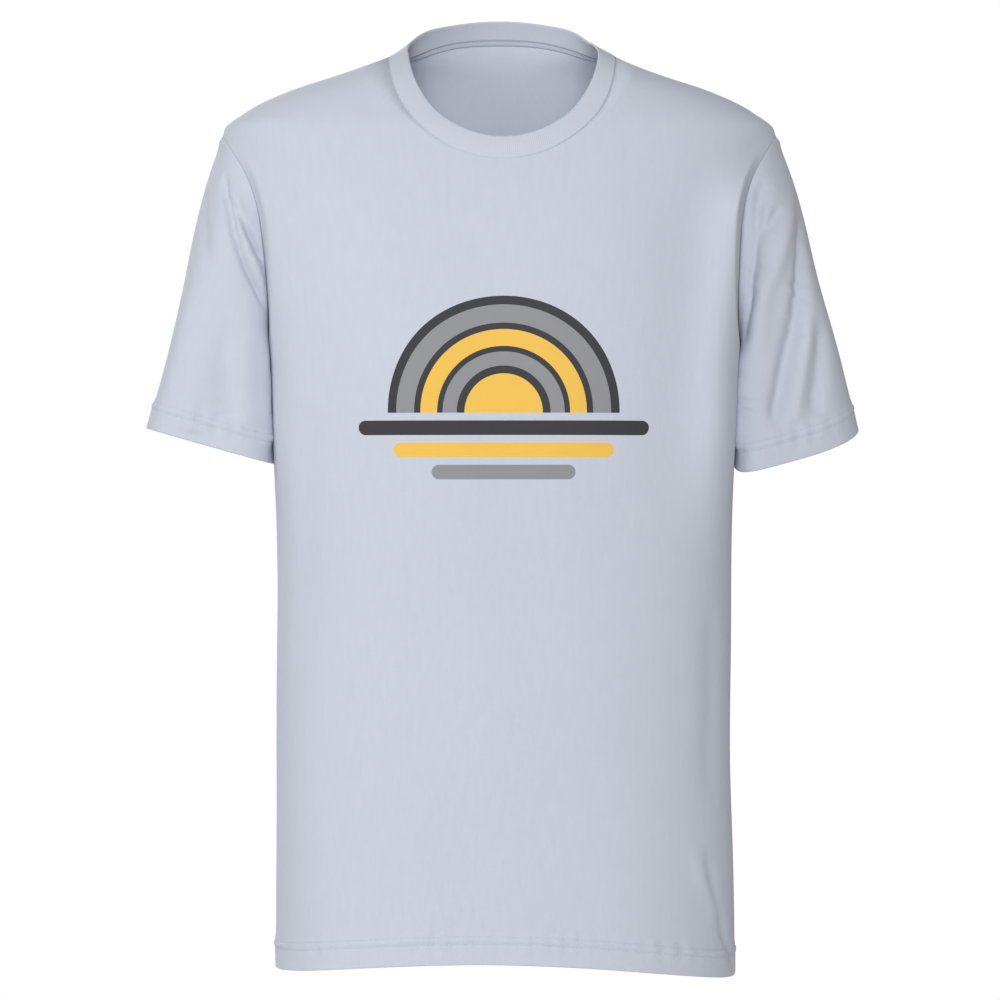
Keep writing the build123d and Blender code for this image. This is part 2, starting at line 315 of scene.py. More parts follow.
@dataclass(frozen=True)
class SleeveForm:
    """The wearer's left sleeve as a set of lines that run from its hem into the body."""

    torso: Torso
    length: float = 0.247
    slope: float = radians(15.3)
    hem_width: float = 0.102
    hem_tilt: float = radians(16.0)
    hem_half_depth: float = 0.062
    underarm_drop: float = 0.240
    underarm_half_depth: float = 0.066
    underarm_clear: float = 0.003
    underarm_tilt: float = 0.015
    cap_fullness: float = 0.0045
    cap_top_half_depth: float = 0.036
    cap_full_share: float = 0.62
    close_outer: tuple[float, float] = (-0.026, 0.015)
    close_inner: tuple[float, float] = (-0.066, -0.016)
    close_half_depth: float = 0.020
    cuff_steps: int = 16
    cap_steps: int = 60
    cap_start: float = 0.06
    squareness: float = 4.0
    round_above: float = 0.35

    def stations(self) -> list[tuple[np.ndarray, np.ndarray, float, float]]:
        """Lines across the sleeve, from its hem up.

        Returns:
            For each line its outer end, its inner end, its half depth and how square its section is.
        """
        tip = np.array([self.torso.shoulder[1], 0.0, self.torso.shoulder[0]])
        hem_outer = tip + self.length * np.array([sin(self.slope), 0.0, -cos(self.slope)])
        hem_inner = hem_outer - self.hem_width * np.array([cos(self.hem_tilt), 0.0, sin(self.hem_tilt)])
        drop = self.underarm_drop + self.torso.shoulder[0] - self.underarm_tilt
        underarm_outer = tip + (hem_outer - tip) * drop / (self.length * cos(self.slope))
        underarm_x = self.torso.chest[1] + self.underarm_clear
        underarm_inner = np.array([underarm_x, 0.0, -self.underarm_drop])
        close_outer = tip + np.array([self.close_outer[0], 0.0, self.close_outer[1]])
        close_inner = tip + np.array([self.close_inner[0], 0.0, self.close_inner[1]])
        lines = []
        for t in np.linspace(0.0, 1.0, self.cuff_steps, endpoint=False):
            depth = self.hem_half_depth + (self.underarm_half_depth - self.hem_half_depth) * t
            outer = hem_outer + (underarm_outer - hem_outer) * t
            lines.append((outer, hem_inner + (underarm_inner - hem_inner) * t, depth, 1.0))
        for t in np.linspace(1.0, self.cap_start, self.cap_steps):
            # The curve t (1 - t)^2 peaks at 4/27, so its bow is as high as the cap is full
            bow = np.array([27 / 4 * t * (1 - t) ** 2 * self.cap_fullness, 0.0, 0.0])
            filled = sin(min(1.0, t / self.cap_full_share) * pi / 2)
            depth = self.cap_top_half_depth + (self.underarm_half_depth - self.cap_top_half_depth) * filled
            outer = tip + (underarm_outer - tip) * t + bow
            square = float(smooth_step(np.array((t - self.round_above) / (1 - self.round_above))))
            lines.append((outer, close_inner + (underarm_inner - close_inner) * t, depth, square))
        lines.append((close_outer, close_inner, self.close_half_depth, 0.0))
        return lines

    def runs(self, turn: np.ndarray) -> np.ndarray:
        """The lines of the form at some turns round it.

        Args:
            turn: 0 on the outer side, a quarter at the front, half at the underarm.

        Returns:
            Points with axes of station, turn and XYZ.
        """
        angle = 2 * pi * turn[:, None]
        corner = square_reach(angle, self.squareness) - 1
        rows = []
        for outer, inner, depth, square in self.stations():
            middle = (outer + inner) / 2
            half = (outer - inner) / 2
            ring = half * np.cos(angle) + depth * np.sin(angle) * np.array([0.0, -1.0, 0.0])
            rows.append(middle + ring * (1 + square * corner))
        return np.array(rows)

    def to_armhole(self, turn: np.ndarray, steps: int = 8) -> list[np.ndarray]:
        """The lines of the form cut where they meet the body.

        Args:
            turn: turns round the sleeve.
            steps: points in each span between two stations.

        Returns:
            For each turn, the points of its line from the hem to the armhole.
        """
        runs = self.runs(turn)
        station = np.arange(len(runs))
        fine = np.linspace(0, len(runs) - 1, (len(runs) - 1) * steps + 1)
        lines = []
        for place in range(len(turn)):
            run = runs[:, place]
            line = np.stack([np.interp(fine, station, run[:, axis]) for axis in range(3)], axis=-1)
            full = self.torso.fullness(line)
            first = int(np.argmax(full < 0))
            share = full[first - 1] / (full[first - 1] - full[first])
            end = line[first - 1] + (line[first] - line[first - 1]) * share
            lines.append(np.vstack([line[:first], end]))
        return lines


@dataclass(frozen=True)
class Armhole:
    """The seam of body and sleeve, where the two cloths run into each other in a soft hollow."""

    torso: Torso
    arm: SleeveForm
    fill: float = 0.0034
    reach: float = 0.017
    full_turn: float = 0.16
    last_turn: float = 0.38
    seam_points: int = 480
    probe: float = 1e-4

    @cached_property
    def seam(self) -> tuple[np.ndarray, np.ndarray]:
        """The left armhole's points, and how far and which way the cloth fills the hollow at each."""
        turn = np.linspace(0.0, 1.0, self.seam_points, endpoint=False)
        lines = self.arm.to_armhole(turn)
        points = np.array([line[-1] for line in lines])
        full = self.torso.fullness
        body = np.stack([full(points + way) - full(points - way) for way in self.probe * np.eye(3)], axis=-1)
        runs = np.array([line[-1] - line[-2] for line in lines])
        sleeve = np.cross(runs, np.roll(points, -1, axis=0) - np.roll(points, 1, axis=0))
        sleeve *= np.sign((sleeve * (points - points.mean(axis=0))).sum(axis=-1, keepdims=True))
        body = body / np.linalg.norm(body, axis=-1, keepdims=True)
        sleeve = sleeve / np.linalg.norm(sleeve, axis=-1, keepdims=True)
        way = (body + sleeve) / np.linalg.norm(body + sleeve, axis=-1, keepdims=True)
        off_top = np.minimum(turn, 1 - turn)
        amount = self.fill * smooth_step((self.last_turn - off_top) / (self.last_turn - self.full_turn))
        return points, way * amount[:, None]

    def filled(self, points: np.ndarray, hand: Hand) -> np.ndarray:
        """Points near an armhole, moved out so that the hollow along its seam is soft.

        Args:
            points: a cloth's points, in any grid.
            hand: which armhole.

        Returns:
            The moved points.
        """
        seam, way = self.seam
        mirror = np.array([hand.value, 1.0, 1.0])
        flat = points.reshape(-1, 3) * mirror
        low = seam.min(axis=0) - self.reach
        near = np.nonzero((flat[:, 0] > low[0]) & (flat[:, 2] > low[2]))[0]
        some = flat[near]
        apart = (some**2).sum(axis=1)[:, None] + (seam**2).sum(axis=1)[None, :] - 2 * some @ seam.T
        nearest = apart.argmin(axis=1)
        distance = np.sqrt(np.clip(apart.min(axis=1), 0.0, None))
        share = np.clip(1 - distance / self.reach, 0.0, 1.0) ** 2
        flat[near] += way[nearest] * share[:, None]
        return (flat * mirror).reshape(points.shape)


@dataclass(frozen=True)
class ForwardEdge:
    """Cloth beside an armhole that hangs flat and forward of the rounder body."""

    hand: Hand
    forward: float
    off_edge: float = 0.004
    reach: float = 0.030
    full_depth: float = 0.040
    top_span: tuple[float, float] = (-0.075, -0.130)
    foot_span: tuple[float, float] = (-0.430, -0.290)

    def shift(self, points: np.ndarray, torso: Torso) -> np.ndarray:
        """How far forward each point of a panel hangs.

        Args:
            points: the panel's points.
            torso: the form that they lie on.

        Returns:
            Distances towards the front.
        """
        out = points[..., 0] * self.hand.value - torso.sizes(points[..., 2])[0] + self.off_edge
        across = np.exp(-((np.minimum(out, 0.0) / self.reach) ** 2))
        level = faded(points[..., 2], self.top_span) * faded(points[..., 2], self.foot_span)
        return self.forward * across * level * smooth_step(-points[..., 1] / self.full_depth)


@dataclass(frozen=True)
class Fold:
    """One soft ridge or valley in the cloth, as it is seen from the front, in millimetres."""

    path: tuple[tuple[float, float], ...]
    width: float
    height: float
    side: Side = Side.FRONT
    fade_start: float = 0.3
    fade_end: float = 0.3

    def line(self, steps: int = 10) -> np.ndarray:
        """The path rounded by a Catmull-Rom curve.

        Args:
            steps: points in each span of the path.

        Returns:
            X and Z of the points, in metres.
        """
        points = np.array(self.path) * MM
        ends = np.vstack([2 * points[0] - points[1], points, 2 * points[-1] - points[-2]])
        rows = []
        for place in range(len(points) - 1):
            a, b, c, d = ends[place : place + 4]
            for t in np.linspace(0.0, 1.0, steps, endpoint=False):
                rows.append(
                    0.5 * (2 * b + (c - a) * t + (2 * a - 5 * b + 4 * c - d) * t**2
                           + (3 * b - a - 3 * c + d) * t**3)
                )
        rows.append(points[-1])
        return np.array(rows)

    def lift(self, points: np.ndarray, normals: np.ndarray) -> np.ndarray:
        """How far the fold moves each point of a cloth along its normal.

        Args:
            points: the cloth's points, in any grid.
            normals: their outward normals.

        Returns:
            Distances, in a grid of the same form.
        """
        flat = points.reshape(-1, 3)
        facing = np.nonzero(normals.reshape(-1, 3)[:, 1] * self.side.value > 0)[0]
        seen = seen_from_front(flat[facing])
        line = []
        for spot in self.line():
            line.append(flat[facing[np.argmin(((seen - spot) ** 2).sum(axis=1))]])
        path = np.array(line)
        length = along(path)
        nearest = np.full(len(flat), np.inf)
        reached = np.zeros(len(flat))
        for place in range(len(path) - 1):
            run = path[place + 1] - path[place]
            size = float(run @ run)
            if size < TINY:
                continue
            t = np.clip((flat - path[place]) @ run / size, 0.0, 1.0)
            away = ((flat - path[place] - t[:, None] * run) ** 2).sum(axis=1)
            closer = away < nearest
            nearest = np.where(closer, away, nearest)
            there = length[place] + t * (length[place + 1] - length[place])
            reached = np.where(closer, there, reached)
        share = reached / length[-1]
        fade = np.ones_like(share)
        if self.fade_start > 0:
            fade = fade * smooth_step(share / self.fade_start)
        if self.fade_end > 0:
            fade = fade * smooth_step((1 - share) / self.fade_end)
        across = np.exp(-nearest / (self.width * MM) ** 2)
        return (self.height * MM * fade * across).reshape(points.shape[:-1])


# The waves of hung cloth: the way each runs, its length and height as shares, and its phase
SWAY_WAVES = (
    ((1.0, 0.0, 0.35), 1.0, 1.0, 0.7),
    ((-0.5, 0.3, 0.8), 0.71, 0.7, 2.1),
    ((1.3, -0.6, 0.2), 0.53, 0.5, 4.4),
)


def sway(points: np.ndarray, size: float, reach: float) -> np.ndarray:
    """A slow unevenness of hung cloth, from a few crossed waves.

    Args:
        points: the cloth's points.
        size: the waves' height.
        reach: the longest wave's length.

    Returns:
        Distances along the normals.
    """
    total = np.zeros(points.shape[:-1])
    for way, length, height, phase in SWAY_WAVES:
        run = (points * np.array(way)).sum(axis=-1)
        total = total + height * np.sin(2 * pi * run / (length * reach) + phase)
    return size * total / sum(wave[2] for wave in SWAY_WAVES)


def faded(height: np.ndarray, span: tuple[float, float]) -> np.ndarray:
    """Eases from 0 at the first height of a span to 1 at the second."""
    return smooth_step((height - span[0]) / (span[1] - span[0]))


def hung(points: np.ndarray) -> np.ndarray:
    """Moves points of the even form to where the hung shirt has them.

    Args:
        points: points in any grid.

    Returns:
        The moved points.
    """
    height = points[..., 2]
    off_neck = np.maximum(faded(np.abs(points[..., 0]), NECK_SPAN), faded(height, COLLAR_SPAN))
    aside = SHOULDER_SHIFT * faded(height, SHOULDER_SHIFT_SPAN) * off_neck
    aside = aside + HEM_SHIFT * faded(height, HEM_SHIFT_SPAN)
    down = SETTLE * faded(height, SETTLE_SPAN) * faded(height, SETTLE_END_SPAN)
    return points + np.stack([aside, 0 * aside, -down], axis=-1)


def resampled(grid: np.ndarray, count: int, axis: int) -> np.ndarray:
    """Takes a number of evenly spaced lines off a grid, along one of its axes.

    Args:
        grid: rows and columns of points.
        count: how many lines to take.
        axis: 0 along the columns, 1 along the rows.

    Returns:
        The new grid.
    """
    place = np.linspace(0.0, grid.shape[axis] - 1.0, count)
    low = np.minimum(place.astype(int), grid.shape[axis] - 2)
    share = (place - low)[:, None, None] if axis == 0 else (place - low)[None, :, None]
    below = np.take(grid, low, axis=axis)
    return below + (np.take(grid, low + 1, axis=axis) - below) * share


def relaxed(grid: np.ndarray, passes: int) -> np.ndarray:
    """Lets the inner points of a flat grid settle between its fixed edges, with no lines crossing.

    Args:
        grid: rows and columns of points in a plane.
        passes: how often each point moves towards its place.

    Returns:
        The settled grid.
    """
    grid = grid.copy()
    for _ in range(passes):
        east = grid[1:-1, 2:]
        west = grid[1:-1, :-2]
        north = grid[2:, 1:-1]
        south = grid[:-2, 1:-1]
        run = (east - west) / 2
        climb = (north - south) / 2
        stiff_run = (climb**2).sum(axis=-1, keepdims=True)
        stiff_climb = (run**2).sum(axis=-1, keepdims=True)
        shear = (run * climb).sum(axis=-1, keepdims=True)
        corners = (grid[2:, 2:] - grid[2:, :-2] - grid[:-2, 2:] + grid[:-2, :-2]) / 4
        pull = stiff_run * (east + west) + stiff_climb * (north + south) - 2 * shear * corners
        grid[1:-1, 1:-1] = pull / (2 * (stiff_run + stiff_climb))
    return grid


# How often a grid settles at each stride of its lines
EVENING_PASSES = ((8, 400), (4, 200), (2, 120), (1, 60))


def evened(grid: np.ndarray) -> np.ndarray:
    """Settles a flat grid, from every eighth line down to every line.

    Args:
        grid: rows and columns of points in a plane, a multiple of eight and one more each way.

    Returns:
        The settled grid.
    """
    coarsest = EVENING_PASSES[0][0]
    settled = grid[::coarsest, ::coarsest]
    for stride, passes in EVENING_PASSES:
        edges = grid[::stride, ::stride].copy()
        inner = resampled(resampled(settled, edges.shape[0], 0), edges.shape[1], 1)
        edges[1:-1, 1:-1] = inner[1:-1, 1:-1]
        settled = relaxed(edges, passes)
    return settled


def normals_of(points: np.ndarray, outward: np.ndarray) -> np.ndarray:
    """Normals of a grid of points.

    Args:
        points: the grid.
        outward: a direction at each point that the normals have to agree with.

    Returns:
        Unit normals.
    """
    cross = np.cross(np.gradient(points, axis=1), np.gradient(points, axis=0))
    size = np.linalg.norm(cross, axis=-1, keepdims=True)
    unit = cross / np.where(size < TINY, 1.0, size)
    facing = np.sign((unit * outward).sum(axis=-1, keepdims=True))
    return unit * np.where(facing == 0, 1.0, facing)


def closed_normals(points: np.ndarray, outward: np.ndarray) -> np.ndarray:
    """Normals of a grid whose last column lies on its first one.

    Args:
        points: the grid.
        outward: directions away from the tube's middle.

    Returns:
        Unit normals, the same along the join.
    """
    wide = np.concatenate([points[:, -3:-1], points, points[:, 1:3]], axis=1)
    wide_out = np.concatenate([outward[:, -3:-1], outward, outward[:, 1:3]], axis=1)
    return normals_of(wide, wide_out)[:, 2:-2]


def linked(name: str, bm: bmesh.types.BMesh) -> bpy.types.Object:
    """Makes an object of the scene from a bmesh, which is then freed.

    Args:
        name: the new object's name.
        bm: its mesh.

    Returns:
        The new object.
    """
    mesh = bpy.data.meshes.new(name)
    bm.to_mesh(mesh)
    bm.free()
    piece = bpy.data.objects.new(name, mesh)
    bpy.context.scene.collection.objects.link(piece)
    return piece


def cloth_mesh(name: str, points: np.ndarray, chart: np.ndarray, closed: bool = False) -> bpy.types.Object:
    """Lays a grid over a grid of points.

    Args:
        name: the new object's name.
        points: rows and columns of points.
        chart: each point's place on the flat cloth, for the UV map.
        closed: whether the last column meets the first one.

    Returns:
        The new object, linked to the scene.
    """
    rows, columns = points.shape[:2]
    bm = bmesh.new()
    bmesh.ops.create_grid(bm, x_segments=columns - 1, y_segments=rows - 1, size=0.5)
    uv = bm.loops.layers.uv.new("cloth")
    spots = {}
    for vert in bm.verts:
        row = round((vert.co.y + 0.5) * (rows - 1))
        spots[vert] = (row, round((vert.co.x + 0.5) * (columns - 1)))
    for face in bm.faces:
        face.smooth = True
        for loop in face.loops:
            loop[uv].uv = chart[spots[loop.vert]]
    for vert, spot in spots.items():
        vert.co = points[spot]
    if closed:
        bmesh.ops.remove_doubles(bm, verts=bm.verts, dist=JOIN_DISTANCE)
    return linked(name, bm)


def turn_out(piece: bpy.types.Object, middle: np.ndarray) -> None:
    """Turns a cloth's faces to point away from a place, judged by the face furthest from it.

    Args:
        piece: the cloth.
        middle: a place on its inner side.
    """
    bm = bmesh.new()
    bm.from_mesh(piece.data)
    bmesh.ops.recalc_face_normals(bm, faces=bm.faces)
    centre = Vector(middle)
    furthest = max(bm.faces, key=lambda face: (face.calc_center_median() - centre).length_squared)
    if furthest.normal.dot(furthest.calc_center_median() - centre) < 0:
        bmesh.ops.reverse_faces(bm, faces=bm.faces)
    bm.to_mesh(piece.data)
    bm.free()


def thicken(piece: bpy.types.Object, thickness: float) -> None:
    """Gives a cloth its thickness, inwards from its outer face."""
    solid = piece.modifiers.new("thickness", "SOLIDIFY")
    solid.thickness = thickness
    solid.offset = -1.0


@dataclass(frozen=True)
class TurnedHem:
    """A hem folded up inside and sewn with two rows of stitches."""

    turn: float = 0.022
    gap: float = 0.0019
    fold_steps: int = 4
    inner_steps: int = 8
    row_spacing: float = 0.0055
    edge_to_row: float = 0.0012
    step: float = 0.0006
    step_fade: float = 0.004
    pucker: float = 0.0006
    pucker_length: float = 0.0135
    pucker_reach: float = 0.009
    wander: float = 2.3
    wander_rate: float = 41.0
    swell: tuple[float, float] = (0.6, 0.4)
    swell_rate: float = 67.0
    swell_phase: float = 1.1
    ridge: float = 0.0007
    ridge_width: float = 0.0022
    dents: tuple[float, float] = (0.0005, 0.0004)
    dent_width: float = 0.0011
    raw_edge_share: float = 0.12
    fold_edge: float = 0.001

    def needle_rows(self) -> tuple[float, float]:
        """Heights of the two rows of stitches above the fold."""
        upper = self.turn - self.edge_to_row
        return (upper, upper - self.row_spacing)

    def relief(self, height: np.ndarray, around: np.ndarray) -> np.ndarray:
        """Relief of the doubled cloth, its stitches and the puckers between them.

        Args:
            height: distance above the fold.
            around: distance along the hem.

        Returns:
            Distances along the normals.
        """
        upper, lower = self.needle_rows()
        off_middle = height - (upper + lower) / 2
        relief = self.step * (1 - smooth_step((height - upper) / self.step_fade))
        near = np.exp(-((off_middle / self.pucker_reach) ** 2))
        wander = self.wander * np.sin(around * self.wander_rate)
        wave = np.sin(2 * pi * around / self.pucker_length + wander)
        swell = self.swell[0] + self.swell[1] * np.sin(around * self.swell_rate + self.swell_phase)
        relief = relief + self.pucker * near * wave * swell
        relief = relief + self.ridge * np.exp(-((off_middle / self.ridge_width) ** 2))
        for row, dent in zip((upper, lower), self.dents):
            relief = relief - dent * np.exp(-(((height - row) / self.dent_width) ** 2))
        return relief

    def turned_up(self, points: np.ndarray, normals: np.ndarray, spacing: float) -> np.ndarray:
        """The rows that fold under and run up inside.

        Args:
            points: the cloth's rows from the fold up.
            normals: their outward normals.
            spacing: distance between two rows near the fold.

        Returns:
            The new rows, from the raw edge inside down to the fold.
        """
        radius = self.gap / 2
        down = points[0] - points[1]
        down = down / np.linalg.norm(down, axis=-1, keepdims=True)
        rows = []
        for share in np.linspace(1.0, self.raw_edge_share, self.inner_steps):
            place = min(int(round(share * self.turn / spacing)), len(points) - 1)
            rows.append(points[place] - normals[place] * self.gap)
        for step in range(self.fold_steps):
            angle = pi * (1 - (step + 0.5) / self.fold_steps)
            out = radius * (cos(angle) - 1)
            rows.append(points[0] + normals[0] * out + down * radius * sin(angle))
        return np.array(rows)


@dataclass(kw_only=True)
class HemmedCloth:
    """A cut piece of jersey, sewn in along its seams, with a turned hem at its foot."""

    torso: Torso
    arm: SleeveForm
    name: str
    folds: tuple[Fold, ...]
    columns: int
    hem_rows: int
    upper_rows: int
    seam_depth: float
    fold_margin: float
    sway_height: float
    sway_length: float
    seam_width: float = 0.0030
    hem_row_spacing: float = 0.001
    thickness: float = 0.0008
    hem: TurnedHem = field(default_factory=TurnedHem)
    points: np.ndarray = field(default_factory=lambda: np.zeros(0))
    normals: np.ndarray = field(default_factory=lambda: np.zeros(0))

    def shift(
        self, points: np.ndarray, normals: np.ndarray, to_seam: np.ndarray, swaying: np.ndarray
    ) -> np.ndarray:
        """How far seams, folds and sway move each point of the smooth cloth along its normal.

        Args:
            points: the smooth cloth.
            normals: its normals.
            to_seam: each point's distance from the nearest seam.
            swaying: each point's share of the sway.

        Returns:
            Distances along the normals.
        """
        off_seam = self.seam_depth * (1 - np.exp(-((to_seam / self.seam_width) ** 2)))
        moved = sway(points, self.sway_height, self.sway_length) * swaying
        for crease in self.folds:
            moved = moved + crease.lift(points, normals)
        return off_seam + smooth_step(to_seam / self.fold_margin) * moved

    def hemmed(self, chart: np.ndarray, middle: np.ndarray, closed: bool = False) -> bpy.types.Object:
        """Makes the cloth from its finished points, with its hem turned up inside.

        Args:
            chart: each point's place on the flat cloth.
            middle: a place on the cloth's inner side.
            closed: whether the last column meets the first one.

        Returns:
            The cloth.
        """
        turned = self.hem.turned_up(self.points, self.normals, self.hem_row_spacing)
        fold = np.repeat(chart[:1], len(turned), axis=0)
        fold[..., 1] -= np.linspace(self.hem.turn, self.hem.fold_edge, len(turned))[:, None]
        points = np.concatenate([turned, self.points])
        piece = cloth_mesh(self.name, points, np.concatenate([fold, chart]), closed)
        turn_out(piece, middle)
        thicken(piece, self.thickness)
        return piece

    def sewn_lines(self) -> list[tuple[np.ndarray, np.ndarray]]:
        """The hem's two rows of stitches, each as points and normals."""
        places = [int(round(height / self.hem_row_spacing)) for height in self.hem.needle_rows()]
        return [(self.points[place], self.normals[place]) for place in places]


@dataclass(kw_only=True)
class BodyPanel(HemmedCloth):
    """The front or back panel, from its turned hem to the neckline, armholes and shoulder seams."""

    side: Side
    forward: tuple[ForwardEdge, ...] = ()
    forward_margin: float = 0.010
    relief_margin: float = 0.004
    columns: int = 161
    hem_rows: int = 32
    upper_rows: int = 201
    hem_lean: float = 0.003
    seam_depth: float = 0.0002
    fold_margin: float = 0.014
    sway_height: float = 0.0012
    sway_length: float = 0.21
    sway_span: tuple[float, float] = (-0.09, -0.17)
    middle: tuple[float, float, float] = (0.0, 0.0, -0.3)
    side_points: int = 80
    armhole_points: int = 160
    shoulder_points: int = 60

    def edges(self) -> tuple[np.ndarray, np.ndarray]:
        """The seams that bound the panel.

        Returns:
            The wearer's right edge, from the hem by the side seam and armhole to the shoulder tip,
            and the top edge, from there by shoulder seams and neckline to the other tip.
        """
        turns = np.linspace(0.5, 0.0, self.armhole_points) * -self.side.value
        armhole = np.array([line[-1] for line in self.arm.to_armhole(turns % 1.0)])
        armhole[:, 0] *= -1
        low = np.linspace(-self.torso.body_length, armhole[0, 2], self.side_points, endpoint=False)
        side_seam = self.torso.point(np.full_like(low, pi), low, self.side)
        high = np.linspace(armhole[-1, 2], 0.0, self.shoulder_points, endpoint=False)
        shoulder = self.torso.point(np.full_like(high, pi), high, self.side)
        draw = self.torso.front_line if self.side is Side.FRONT else self.torso.back_line
        neck = draw(np.linspace(0.0, 1.0, LINE_POINTS), 0.0)
        other_shoulder = shoulder[::-1] * np.array([-1.0, 1.0, 1.0])
        return np.vstack([side_seam, armhole]), np.vstack([shoulder, neck, other_shoulder])

    def charted(self, line: np.ndarray, shares: np.ndarray) -> np.ndarray:
        """Angles and heights on the form at shares of a line's length."""
        values = np.stack([self.torso.angle_of(line, self.side), line[:, 2]], axis=-1)
        return respaced(values, line, shares)

    def surface(self) -> np.ndarray:
        """The panel before its folds: a patch between hem, seams and neckline.

        Returns:
            Angles and heights on the form: rows from the hem up, columns from the wearer's right.
        """
        across = np.linspace(0.0, 1.0, self.columns)
        up = np.linspace(0.0, 1.0, self.upper_rows)
        edge, top = self.edges()
        turn = np.linspace(pi, 0.0, LINE_POINTS)
        hem = self.torso.point(turn, np.full_like(turn, -self.torso.body_length), self.side)
        share = hem[:, 0] / self.torso.hem_sizes[0]
        rise = self.torso.hem_rise * (1 - share**2) - self.hem_lean * share
        hem_angle, hem_rise = respaced(np.stack([turn, rise], axis=-1), hem, across).T
        lifts = np.arange(self.hem_rows)[:, None] * self.hem_row_spacing
        hem_heights = lifts + hem_rise - self.torso.body_length
        band = np.stack(np.broadcast_arrays(hem_angle, hem_heights), axis=-1)
        sides = []
        for column in (0, -1):
            start = self.torso.point(np.array([pi]), band[-1:, column, 1], self.side)
            sides.append(self.charted(np.vstack([start, edge[edge[:, 2] > start[0, 2]]]), up))
        right, left = sides
        left[:, 0] = pi - left[:, 0]
        u = across[None, :, None]
        v = up[:, None, None]
        ruled = (1 - v) * band[-1] + v * self.charted(top, across)
        near_right = np.clip(1 - 2 * u, 0.0, 1.0) ** 2
        near_left = np.clip(2 * u - 1, 0.0, 1.0) ** 2
        patch = ruled + near_right * (right[:, None] - ruled[:, :1])
        patch = patch + near_left * (left[:, None] - ruled[:, -1:])
        flat = np.array([self.torso.chest[2], 1.0])
        return np.concatenate([band[:-1], evened(patch * flat) / flat])

    def flat_run(self, angle: np.ndarray) -> np.ndarray:
        """Distance round the chest from the panel's middle, to the wearer's left."""
        turn = np.linspace(0.0, pi, LINE_POINTS)
        length = along(self.torso.point(turn, np.full_like(turn, self.torso.chest[0]), self.side))
        return length[-1] / 2 - np.interp(angle, turn, length)

    def fold_cloth(self, points: np.ndarray, normals: np.ndarray) -> np.ndarray:
        """Adds seams, folds and the hem's relief.

        Args:
            points: the smooth panel.
            normals: its normals.

        Returns:
            The panel's finished points.
        """
        from_right = along(points, axis=1)
        from_left = from_right[:, -1:] - from_right
        above_hem = along(points)
        from_top = above_hem[-1:] - above_hem
        to_seam = np.minimum(np.minimum(from_right, from_left), from_top)
        moved = self.shift(points, normals, to_seam, faded(points[..., 2], self.sway_span))
        relief = self.hem.relief(above_hem, from_right) * smooth_step(to_seam / self.relief_margin)
        folded = points + normals * (moved + relief)[..., None]
        for edge in self.forward:
            folded[..., 1] -= edge.shift(points, self.torso) * smooth_step(to_seam / self.forward_margin)
        return folded

    def build(self) -> bpy.types.Object:
        """Makes the panel's cloth, with its hem turned up inside.

        Returns:
            The panel.
        """
        angle, height = np.moveaxis(self.surface(), -1, 0)
        smooth = self.torso.point(angle, height, self.side)
        for hand in Hand:
            smooth = Armhole(self.torso, self.arm).filled(smooth, hand)
        outward = smooth * np.array([1.0, 1.0, 0.0])
        self.points = hung(self.fold_cloth(smooth, normals_of(smooth, outward)))
        self.normals = normals_of(self.points, outward)
        chart = np.stack([self.flat_run(angle), height], axis=-1)
        return self.hemmed(chart, np.array(self.middle))


@dataclass(kw_only=True)
class Sleeve(HemmedCloth):
    """A set-in short sleeve with its turned hem."""

    hand: Hand
    hem_dip: float = 0.0
    dip_length: float = 0.13
    dip_turn: float = 0.27
    dip_half_turn: float = 0.17
    hug: float = 0.0023
    hug_margin: float = 0.03
    turned_out: float = 0.08
    turn_length: float = 0.10
    pivot_share: float = 0.25
    columns: int = 201
    hem_rows: int = 30
    upper_rows: int = 111
    seam_depth: float = 0.0003
    fold_margin: float = 0.012
    sway_height: float = 0.0011
    sway_length: float = 0.15

    def surface(self) -> tuple[np.ndarray, np.ndarray]:
        """The sleeve before its folds.

        Returns:
            Rows of points from the hem to the armhole, and their distances from the hem.
        """
        turn = np.linspace(0.0, 1.0, self.columns)
        lines = self.arm.to_armhole(turn % 1.0)
        grid = []
        for line in lines:
            length = along(line)[-1]
            fine = np.arange(self.hem_rows) * self.hem_row_spacing / length
            coarse = np.linspace(self.hem_rows * self.hem_row_spacing / length, 1.0, self.upper_rows)
            grid.append(respaced(line, line, np.concatenate([fine, coarse])))
        points = np.swapaxes(np.array(grid), 0, 1)
        points[..., 0] *= self.hand.value
        above = along(points)
        to_seam = above[-1:] - above
        near_hem = smooth_step(1 - above / self.dip_length)
        dip = np.exp(-(((turn - self.dip_turn) / self.dip_half_turn) ** 4))
        points[..., 2] -= self.hem_dip * dip * near_hem
        inner = np.clip(-np.cos(2 * pi * turn), 0.0, 1.0) ** 2
        hug = self.hug * inner * smooth_step(to_seam / self.hug_margin)
        points[..., 0] -= self.hand.value * hug
        half = (self.columns - 1) // 2
        outer_edge = points[:, :1, 0]
        inner_edge = points[:, half : half + 1, 0]
        pivot = inner_edge + self.pivot_share * (outer_edge - inner_edge)
        turned = self.turned_out * self.hand.value * (points[..., 0] - pivot)
        points[..., 1] += turned * smooth_step(to_seam / self.turn_length)
        return Armhole(self.torso, self.arm).filled(points, self.hand), above

    def build(self) -> bpy.types.Object:
        """Makes the sleeve's cloth, with its hem turned up inside.

        Returns:
            The sleeve.
        """
        smooth, above = self.surface()
        outward = smooth - smooth.mean(axis=1, keepdims=True)
        normals = closed_normals(smooth, outward)
        around = along(smooth, axis=1)
        moved = self.shift(smooth, normals, above[-1:] - above, np.ones_like(above))
        moved = moved + self.hem.relief(above, around[:1] + 0 * above)
        moved[:, -1] = moved[:, 0]
        self.points = hung(smooth + normals * moved[..., None])
        self.normals = closed_normals(self.points, outward)
        chart = np.stack([around, above], axis=-1)
        return self.hemmed(chart, smooth.mean(axis=(0, 1)), closed=True)


